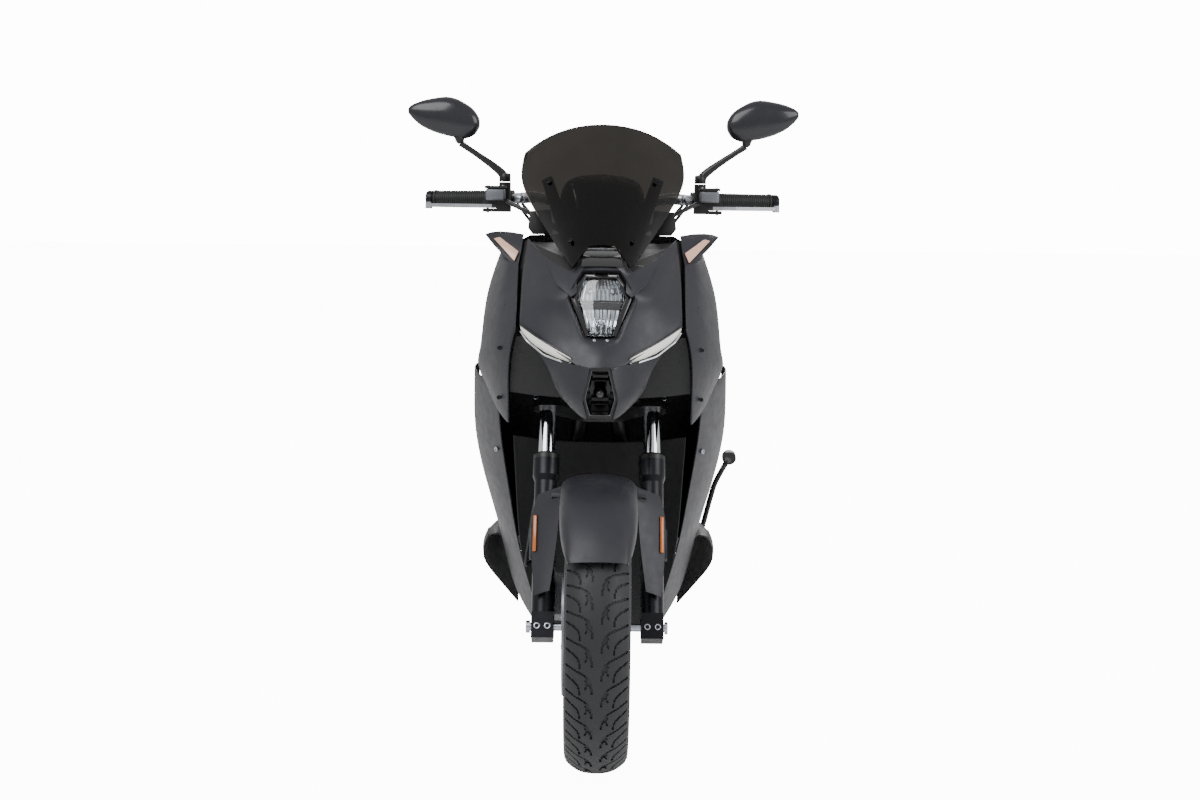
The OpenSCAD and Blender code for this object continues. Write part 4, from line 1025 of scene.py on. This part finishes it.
@dataclass
class Screen(Assembly):
    """The smoked windscreen, its brackets and its bolts."""

    def build(self) -> None:
        """Makes the screen."""
        self.shell("windscreen", "screen", SMOKED, 30.0, 1)
        self.shell("screen_brackets", "frame", POWDER_COAT, 40.0, 1)
        for name, x, y, z in (("high", 108, -494, 1122), ("low", 61, -607, 1010)):
            head = bolt(at(x, y, z), Vector((0.2, -0.75, 0.62)), 0.0045, "screen_bolt_" + name)
            self.both(head, BLACK_STEEL, "screen")
        base = plate(
            spots([(-34, -607, 991), (34, -607, 991), (39, -660, 961), (-39, -660, 961)]), (0, -0.002, 0.003),
            "screen_base_plate"
        )
        self.dress(soften(base, 0.001), PIANO_BLACK, "frame")
        for side in (-1, 1):
            rim = (
                (20, -614, 974), (42, -626, 966), (58, -649, 944), (98, -604, 960), (126, -549, 982),
                (147, -500, 1004), (147, -440, 1002), (20, -440, 998)
            )
            self.dress(plate(spots(rim, side), (0, 0, -0.004), f"cowl_floor_{side}"), BLACK_MOULDING, "frame")
            ledge = (
                (109, -596, 975), (64, -642, 953), (47, -668, 941), (46, -680, 913), (57, -688, 905),
                (86, -664, 928)
            )
            raised = plate(spots(ledge, side), (0, -0.004, 0.0025), f"cowl_ledge_{side}")
            self.dress(soften(raised, 0.0015, 3), MATT_PAINT, "frame")
        # Painted highlight: a bright alloy rod along the top edge of the black base plate stands in for the
        # highlight that this edge shows.
        self.dress(
            cable(spots([(-33, -608, 995), (33, -608, 995)]), 0.0014, "screen_base_painted_highlight", 2), SATIN_ALLOY,
            "frame"
        )
        wing = plate(
            spots(
                [(98, -437, 1017), (140, -445, 1017), (150, -440, 1030), (146, -436, 1064), (104, -428, 1066)]
            ),
            (0, 0.004, 0), "dash_wing"
        )
        self.both(soften(wing, 0.0012), BLACK_MOULDING, "frame")


@dataclass
class Tyre(Assembly):
    """A tyre with moulded grooves."""

    node: str = ""
    body: str = ""
    centre: Vector = field(default_factory=Vector)
    bead: float = 190.0
    crown: float = 274.0
    width: float = 120.0
    repeats: int = 34

    def build(self) -> None:
        """Spins the section and sinks the grooves."""
        half = self.width / 2
        reach = 0.93 * half
        steps = 52
        tread = []
        for k in range(steps + 1):
            x = -reach + 2 * reach * k / steps
            tread.append((self.crown - 22 * (abs(x) / reach) ** 2.6, x))
        height = self.crown - self.bead
        wall = [
            (self.bead, 0.62), (self.bead + 4, 0.66), (self.bead + 9, 0.72), (self.bead + 10, 0.745),
            (self.bead + 12, 0.745), (self.bead + 13, 0.76), (self.bead + 20, 0.84),
            (self.bead + 0.36 * height, 0.945), (self.bead + 0.45 * height, 0.985),
            (self.bead + 0.52 * height, 0.995), (self.bead + 0.58 * height, 1.0),
            (self.bead + 0.66 * height, 0.985), (self.bead + 0.665 * height, 0.97)
        ]
        left = [(r, -x * half) for r, x in wall]
        right = [(r, x * half) for r, x in reversed(wall)]
        inner = [
            (self.bead + 5, 0.5), (self.bead + 14, 0.62), (self.bead + 30, 0.8), (self.crown - 24, 0.78),
            (self.crown - 14, 0.4), (self.crown - 12, 0.0), (self.crown - 14, -0.4), (self.crown - 24, -0.78),
            (self.bead + 30, -0.8), (self.bead + 14, -0.62), (self.bead + 5, -0.5)
        ]
        section = left + tread + right + [(r, x * half) for r, x in inner]
        around = self.repeats * 26
        tyre = turned([(r / 1000, x / 1000) for r, x in section], self.node + "_tread", self.centre, around)
        count = pick(tyre, self.in_groove)
        LOG.info("%s: %d groove faces", self.node, count)
        bpy.ops.mesh.extrude_region_shrink_fatten(TRANSFORM_OT_shrink_fatten={"value": -GROOVE_DEPTH})
        bpy.ops.object.mode_set(mode="OBJECT")
        smooth(tyre, 38.0)
        self.dress(tyre, TREAD_RUBBER, self.body, self.node)
        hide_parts(self.node)

    def in_groove(self, spot: Vector, normal: Vector) -> bool:
        """Says whether a face of the crown lies in a groove."""
        place = spot - self.centre
        radius = math.hypot(place.y, place.z) * 1000
        if radius < self.crown - 21 or normal.dot(Vector((0, place.y, place.z))) < 0:
            return False
        x = place.x * 1000
        pitch = math.tau * self.crown / self.repeats
        s = math.atan2(place.z, place.y) * self.crown + (pitch / 2 if x > 0 else 0)
        if x > 0 and self.node == "rear_tyre":
            s = -s
        across = abs(x) / (self.width / 120)
        for line, wide in GROOVES:
            for (a, sa), (b, sb) in zip(line, line[1:]):
                sa, sb = sa * pitch / 50, sb * pitch / 50
                for shift in (-1, 0, 1, 2):
                    along = (s % pitch) + shift * pitch
                    length = (b - a) ** 2 + (sb - sa) ** 2
                    share = max(0.0, min(1.0, ((across - a) * (b - a) + (along - sa) * (sb - sa)) / length))
                    if math.hypot(across - a - share * (b - a), along - sa - share * (sb - sa)) < wide:
                        return True
        return False


GROOVES = (
    (((54, 0), (40, 7), (24, 14), (15, 22), (10, 34), (9, 48)), 2.1),
    (((54, 20), (42, 28), (34, 34), (31, 44), (30, 52)), 1.9),
    (((20, 24), (17, 32), (20, 40)), 1.7),
)


@dataclass
class Wheels(Assembly):
    """Both wheels: rims, tyres, discs, valves and hub details."""

    def build(self) -> None:
        """Makes both wheels."""
        Tyre(self.frame, "front_tyre", "front_wheel", FRONT_AXLE.copy()).build()
        Tyre(self.frame, "rear_tyre", "rear_wheel", REAR_AXLE.copy(), 178.0, 276.0, 138.0, 34).build()
        for node in ("front_rim", "rear_rim"):
            self.edged(node, SATIN_PAINT, 0.0022)
        for node in ("front_disc", "rear_disc"):
            self.edged(node, DISC_STEEL, 0.0005)
        self.cad("front_axle", ZINC)
        self.hub("front_wheel", FRONT_AXLE, -64.0, 40.0)
        self.hub("rear_wheel", REAR_AXLE, -72.0, 36.0)
        ring = turned(
            [(0.047, -0.058), (0.058, -0.058), (0.058, -0.0565), (0.047, -0.0565)], "tone_ring", FRONT_AXLE,
            48
        )
        self.dress(smooth(ring), ZINC, "front_wheel")

    def hub(self, body: str, axle: Vector, x: float, radius: float) -> None:
        """Bolts the disc to its carrier and adds the valve."""
        for step in range(5):
            turn = math.tau * step / 5 + 0.3
            spot = axle + Vector(
                (
                    x / 1000 - 0.0025, math.sin(turn) * (radius + 7) / 1000,
                    math.cos(turn) * (radius + 7) / 1000
                )
            )
            self.dress(bolt(spot, Vector((-1, 0, 0)), 0.0055, f"{body}_disc_bolt_{step}"), ZINC, body)
        foot = axle + at(24, 0, -150 if body == "front_wheel" else -140)
        valve = barrel(foot, foot + at(14, 0, 26), 0.004, body + "_valve")
        self.dress(valve, HOSE_RUBBER, body)


@dataclass
class Fork(Assembly):
    """The fork, its crown, its fender, its caliper and the lines that run to it."""

    def build(self) -> None:
        """Makes the fork."""
        self.cad("fork_stanchions", HARD_CHROME)
        self.edged("fork_sliders", GREY_ANODISED, 0.0016)
        self.edged("steering_stem", POWDER_COAT, 0.0018)
        self.shell("front_fender", "fork_lower", MATT_PAINT, 40.0, 1)
        self.edged("front_caliper", CAST_GREY, 0.003)
        self.shell("brake_hose", "fork_lower", HOSE_RUBBER, 60.0, 1)
        for side in (-1, 1):
            cap = lathe(
                [(18.2, 0), (26.5, 0), (26.5, 9), (22, 13), (18.2, 13)], on_fork(105 * side, 0, 335), FORK_UP,
                f"dust_seal_{side}"
            )
            self.dress(cap, HOSE_RUBBER, "fork_lower")
            top = lathe(
                [(0, 0), (16, 0), (16, 7), (9, 9), (0, 9)], on_fork(105 * side, 0, 480), FORK_UP,
                f"fork_cap_{side}"
            )
            self.dress(top, SATIN_ALLOY, "steering")
            for x in (95, 115):
                head = bolt(on_fork(x * side, -26, -4), FORK_AHEAD, 0.0062, f"clamp_bolt_{side}_{x}")
                self.dress(head, ZINC, "fork_lower")
            lens = plate(
                [
                    on_fork(119 * side, -32, 142), on_fork(126 * side, -30, 142),
                    on_fork(126 * side, -30, 214), on_fork(119 * side, -32, 214)
                ],
                at(1 * side, -6, 0), f"leg_reflector_{side}"
            )
            self.dress(soften(lens, 0.0015), AMBER_LENS, "fork_lower")
            for x in (72, 128):
                head = bolt(on_fork(x * side, -32, 458), FORK_AHEAD, 0.006, f"crown_bolt_{side}_{x}")
                self.dress(head, ZINC, "steering")
        for z in (66, 102):
            head = bolt(on_fork(-86, 106, z), Vector((-1, 0, 0)), 0.006, f"caliper_bolt_{z}")
            self.dress(head, ZINC, "fork_lower")


@dataclass
class Handlebar(Assembly):
    """The bar, grips, levers, switch blocks, fluid reservoirs and mirrors."""

    def build(self) -> None:
        """Makes the bar and all that is on it."""
        self.shell("handlebar", "steering", SATIN_ALLOY, 50.0, 1)
        for node in ("left_controls", "right_controls"):
            self.edged(node, BLACK_MOULDING, 0.0016)
        for node in ("front_brake_lever", "rear_brake_lever"):
            self.edged(node, SATIN_ALLOY, 0.0022)
        self.cad("start_button", RED_LENS)
        self.grips()
        self.mirrors()
        self.reservoirs()

    def grips(self) -> None:
        """Turns ribbed grips round the bar's ends."""
        way = Vector((0.968, 0.25, -0.014)).normalized()
        end = at(358, -238.1, 1086)
        start = end - way * 0.124
        profile = [(11.5, 3), (20, 3), (20, 6)]
        for rib in range(26):
            profile += [
                (16.4, 7 + rib * 4.3), (16.4, 9.4 + rib * 4.3), (15.4, 9.8 + rib * 4.3),
                (15.4, 10.8 + rib * 4.3)
            ]
        profile += [(18, 119), (18, 123), (11.5, 123)]
        for node, body, side in (("left_grip", "steering", 1), ("throttle_grip", "throttle", -1)):
            flip = Vector((side, 1, 1))
            grip = lathe(profile, start * flip, way * flip, node + "_rubber", 48)
            self.dress(grip, GRIP_RUBBER, body, node)
            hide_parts(node)
            weight = lathe(
                [(0, 0), (15.5, 0), (16.5, 2), (16.5, 12), (14, 15), (0, 15)], (end + way * 0.002) * flip,
                way * flip, f"bar_end_{side}"
            )
            self.dress(weight, BLACK_STEEL, "steering")

    def mirrors(self) -> None:
        """Smooths the mirror heads and sets their glasses."""
        pivot = Vector((300.1, -324.1, 1214.7))
        pod = [
            (-38, 28, 14), (-30, 29, 24), (-11, 33, 33), (14, 40, 35.5), (34, 42, 33.5), (66, 44, 25.5),
            (84, 47, 17.5), (96, 50, 8)
        ]
        for side, word in ((1, "left"), (-1, "right")):
            self.shell(word + "_mirror", word + "_pod", SATIN_PAINT, 60.0, 2)
            self.shell(word + "_mirror_arm", word + "_arm", POWDER_COAT, 60.0, 1)
            foot = at(pivot.x * side, pivot.y, pivot.z)
            boot = lathe(
                [(0, -15), (6, -15), (9.5, -9), (9.5, 1), (0, 1)], foot,
                Vector((0.35 * side, 0, 1)).normalized(), word + "_mirror_boot", 28
            )
            self.dress(boot, HOSE_RUBBER, word + "_arm")
            rim = [(p, c - h) for p, c, h in pod] + [(p, c + h) for p, c, h in reversed(pod)]
            points = [at((pivot.x + x) * side, pivot.y + 6.5, pivot.z + z) for x, z in rim]
            glass = soften(plate(points, (0, 0.004, 0), word + "_glass"), 0.001)
            self.dress(glass, MIRROR_GLASS, word + "_pod")

    def reservoirs(self) -> None:
        """Puts a fluid reservoir, its lid and its hose on each lever perch."""
        for side in (-1, 1):
            x0, x1 = sorted((206 * side, 238 * side))
            pot = block(at(x0 - 4, -352, 1084), at(x1 + 4, -318, 1108), f"reservoir_{side}", 0.004)
            self.dress(pot, CAST_GREY, "steering")
            lid = block(at(x0 - 6, -354, 1108), at(x1 + 6, -316, 1114), f"reservoir_lid_{side}", 0.002)
            self.dress(lid, BLACK_MOULDING, "steering")
            for dx in (0, 1):
                self.dress(
                    bolt(
                        at(x0 + 1 + dx * (x1 - x0 - 2), -335, 1113.6), Vector((0, 0, 1)), 0.003,
                        f"lid_screw_{side}_{dx}"
                    ),
                    ZINC, "steering"
                )
            hose = cable(
                [
                    at(200 * side, -336, 1082), at(150 * side, -360, 1060), at(100 * side, -350, 1030),
                    at(60 * side, -318, 1010), at(30 * side, -300, 985)
                ],
                0.0045, f"bar_hose_{side}"
            )
            self.dress(hose, HOSE_RUBBER, "steering")
            for turn, (drop, reach) in enumerate(((26, 168), (44, 178))):
                lead = cable(
                    [
                        at(reach * side, -322, 1078), at(140 * side, -330, 1072 - drop),
                        at(100 * side, -318, 1050 - drop), at(52 * side, -296, 1000)
                    ],
                    0.0032, f"bar_cable_{side}_{turn}"
                )
                self.dress(lead, HOSE_RUBBER, "steering")


@dataclass
class Dash(Assembly):
    """The instrument panel behind the screen."""

    def build(self) -> None:
        """Makes the display."""
        glass = block(at(-68, -411, 1036), at(68, -408.6, 1116), "display", 0.001)
        self.dress(glass, DISPLAY, "frame")
        for x in (-58, -44, 44, 58):
            key = lathe(
                [(0, 0), (4, 0), (4, 1.6), (0, 2)], at(x, -408.6, 1028), Vector((0, 1, 0)), f"dash_key_{x}",
                20
            )
            self.dress(key, GRIP_RUBBER, "frame")


@dataclass
class Seat(Assembly):
    """The two-level seat: a filled cover over foam, with its seams."""

    def build(self) -> None:
        """Inflates the cover over the CAD cushion."""
        pad = loose_copy(self.frame["nodes"]["seat_cushion"], "seat_cover")
        bpy.ops.object.mode_set(mode="OBJECT")
        change(pad, "REMESH", mode="VOXEL", voxel_size=0.0058)
        change(pad, "SMOOTH", factor=0.5, iterations=8)
        self.inflate(pad)
        smooth(pad, 60.0)
        self.dress(pad, SEAT_COVER, "seat", "seat_cushion")
        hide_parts("seat_cushion")
        self.seams()

    def inflate(self, pad: bpy.types.Object) -> None:
        """Runs the cloth simulation and keeps each point near where it began."""
        rest = np.empty(len(pad.data.vertices) * 3)
        pad.data.vertices.foreach_get("co", rest)
        cloth = pad.modifiers.new("cover", "CLOTH")
        cloth.settings.use_pressure = True
        cloth.settings.uniform_pressure_force = 4.0
        cloth.settings.tension_stiffness = 40.0
        cloth.settings.compression_stiffness = 40.0
        cloth.settings.bending_stiffness = 6.0
        cloth.settings.effector_weights.gravity = 0.0
        cloth.point_cache.frame_start, cloth.point_cache.frame_end = 1, CLOTH_FRAMES
        scene = bpy.context.scene
        for frame in range(1, CLOTH_FRAMES + 1):
            scene.frame_set(frame)
        bpy.ops.object.modifier_apply(modifier=cloth.name)
        scene.frame_set(1)
        moved = np.empty_like(rest)
        pad.data.vertices.foreach_get("co", moved)
        rest, moved = rest.reshape(-1, 3), moved.reshape(-1, 3)
        step = moved - rest
        length = np.linalg.norm(step, axis=1, keepdims=True)
        step *= np.minimum(1.0, CLOTH_SWELL / np.maximum(length, 1e-9))
        step[rest[:, 2] < rest[:, 2].min() + 0.03] *= 0.2
        pad.data.vertices.foreach_set("co", (rest + step).ravel())
        pad.data.update()
        change(pad, "SUBSURF", levels=1)

    def seams(self) -> None:
        """Runs piping round the cover and across the step between the two levels."""
        for side in (-1, 1):
            line = [
                at(x * side, y, z) for x, y,
                z in (
                    (88, 92, 722), (124, 150, 738), (148, 240, 745), (158, 340, 748), (162, 430, 756),
                    (160, 480, 782), (157, 540, 800), (143, 640, 808), (123, 740, 805), (94, 810, 800)
                )
            ]
            self.dress(cable(line, 0.0016, f"seat_piping_{side}"), GRIP_RUBBER, "seat")
        step = [
            at(x, 462 - abs(x) * 0.06, z) for x,
            z in ((-150, 770), (-110, 795), (-50, 799), (0, 800), (50, 799), (110, 795), (150, 770))
        ]
        self.dress(cable(step, 0.0016, "seat_step_piping"), GRIP_RUBBER, "seat")
        hinge = barrel(at(-46, 60, 703), at(46, 60, 703), 0.005, "seat_hinge")
        self.dress(hinge, ZINC, "seat")


@dataclass
class Engine(Assembly):
    """The swinging engine and drive case, the exhaust, the rear brake and the shock absorbers."""

    def build(self) -> None:
        """Makes the rear end."""
        self.edged("crankcase", CAST_GREY, 0.002)
        self.edged("cvt_cover", POWDER_COAT, 0.003)
        self.shell("exhaust", "swing_unit", POWDER_COAT, 50.0, 1)
        self.edged("rear_caliper", CAST_GREY, 0.003)
        self.cad("shock_dampers", BLACK_STEEL)
        self.cad("shock_rods", HARD_CHROME)
        self.cad("shock_springs", SPRING_ENAMEL, 60.0)
        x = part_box("cvt_cover")[1].x * 1000 - 18
        ring = [(657, 272, 50, angle) for angle in (-75, -35, 5, 45)] + [
            (339, 268, 58, angle) for angle in (100, 140, 180, 220, 260)
        ]
        for y, z, reach, angle in ring:
            turn = math.radians(angle)
            head = bolt(
                at(x, y + reach * math.cos(turn), z + reach * math.sin(turn)), Vector((1, 0, 0)), 0.0045,
                f"case_bolt_{y}_{angle}"
            )
            self.dress(head, ZINC, "swing_unit")
        self.silencer()
        self.case()

    def silencer(self) -> None:
        """Puts a slotted heat shield and its screws on the silencer."""
        low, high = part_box("exhaust")
        x = low.x * 1000
        body = plate(
            [at(x + 1, 500, 288), at(x + 1, 740, 352), at(x + 1, 760, 400), at(x + 1, 520, 340)], at(3, 0, 0),
            "heat_shield"
        )
        self.dress(soften(body, 0.0015, 3), SATIN_ALLOY, "swing_unit")
        for number in range(5):
            y = 545 + number * 40
            z = 318 + number * 11.2
            slot = plate(
                [
                    at(x + 0.4, y, z - 7), at(x + 0.4, y + 24, z - 4), at(x + 0.4, y + 24, z + 12),
                    at(x + 0.4, y, z + 9)
                ],
                at(2, 0, 0), f"shield_slot_{number}"
            )
            self.dress(soften(slot, 0.0012), BLACK_STEEL, "swing_unit")
        for y, z in ((516, 322), (744, 378)):
            self.dress(
                bolt(at(x + 1.4, y, z), Vector((-1, 0, 0)), 0.0045, f"shield_screw_{y}"), ZINC, "swing_unit"
            )

    def case(self) -> None:
        """Rings the clutch and pulley covers with a raised rib each, with six small fins inside each rib."""
        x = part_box("cvt_cover")[1].x * 1000 - 3.6
        for name, y, z, radius in (("clutch", 657, 272, 34), ("pulley", 339, 268, 40)):
            rib = lathe(
                [
                    (radius - 3, 0), (radius, 0), (radius, 2.4), (radius - 1, 3), (radius - 2, 3),
                    (radius - 3, 2.4)
                ],
                at(x - 3.4, y, z), Vector((1, 0, 0)), name + "_ring"
            )
            self.dress(rib, POWDER_COAT, "swing_unit")
            for turn in range(6):
                angle = math.tau * turn / 6 + 0.3
                reach = radius * 0.55
                fin = block(
                    at(x - 3, y + reach * math.cos(angle) - 2, z + reach * math.sin(angle) - 8),
                    at(x - 0.6, y + reach * math.cos(angle) + 2, z + reach * math.sin(angle) + 8),
                    f"{name}_fin_{turn}", 0.0008
                )
                self.dress(fin, CAST_GREY, "swing_unit")


@dataclass
class Stands(Assembly):
    """The centre stand, the side stand and the passenger's pegs."""

    def build(self) -> None:
        """Makes the stands and pegs."""
        self.shell("centre_stand", "main_stand", POWDER_COAT, 40.0, 0)
        self.shell("side_stand", "kick_stand", POWDER_COAT, 40.0, 0)
        for word in ("left", "right"):
            self.edged(word + "_footpeg", CAST_GREY, 0.0015)


def main() -> None:
    """Builds the scene."""
    logging.basicConfig(level=logging.INFO, format="%(name)s %(message)s")
    for piece in list(bpy.data.objects):
        bpy.data.objects.remove(piece)
    Studio().build()
    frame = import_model()
    for part in (
        Bodywork, Headlight, PositionLights, Duct, Signals, Screen, Wheels, Fork, Handlebar, Dash, Seat,
        Engine, Stands
    ):
        group = part(frame)
        group.build()
        LOG.info("%s: %d pieces", part.__name__, group.count)


if __name__ == "__main__":
    main()
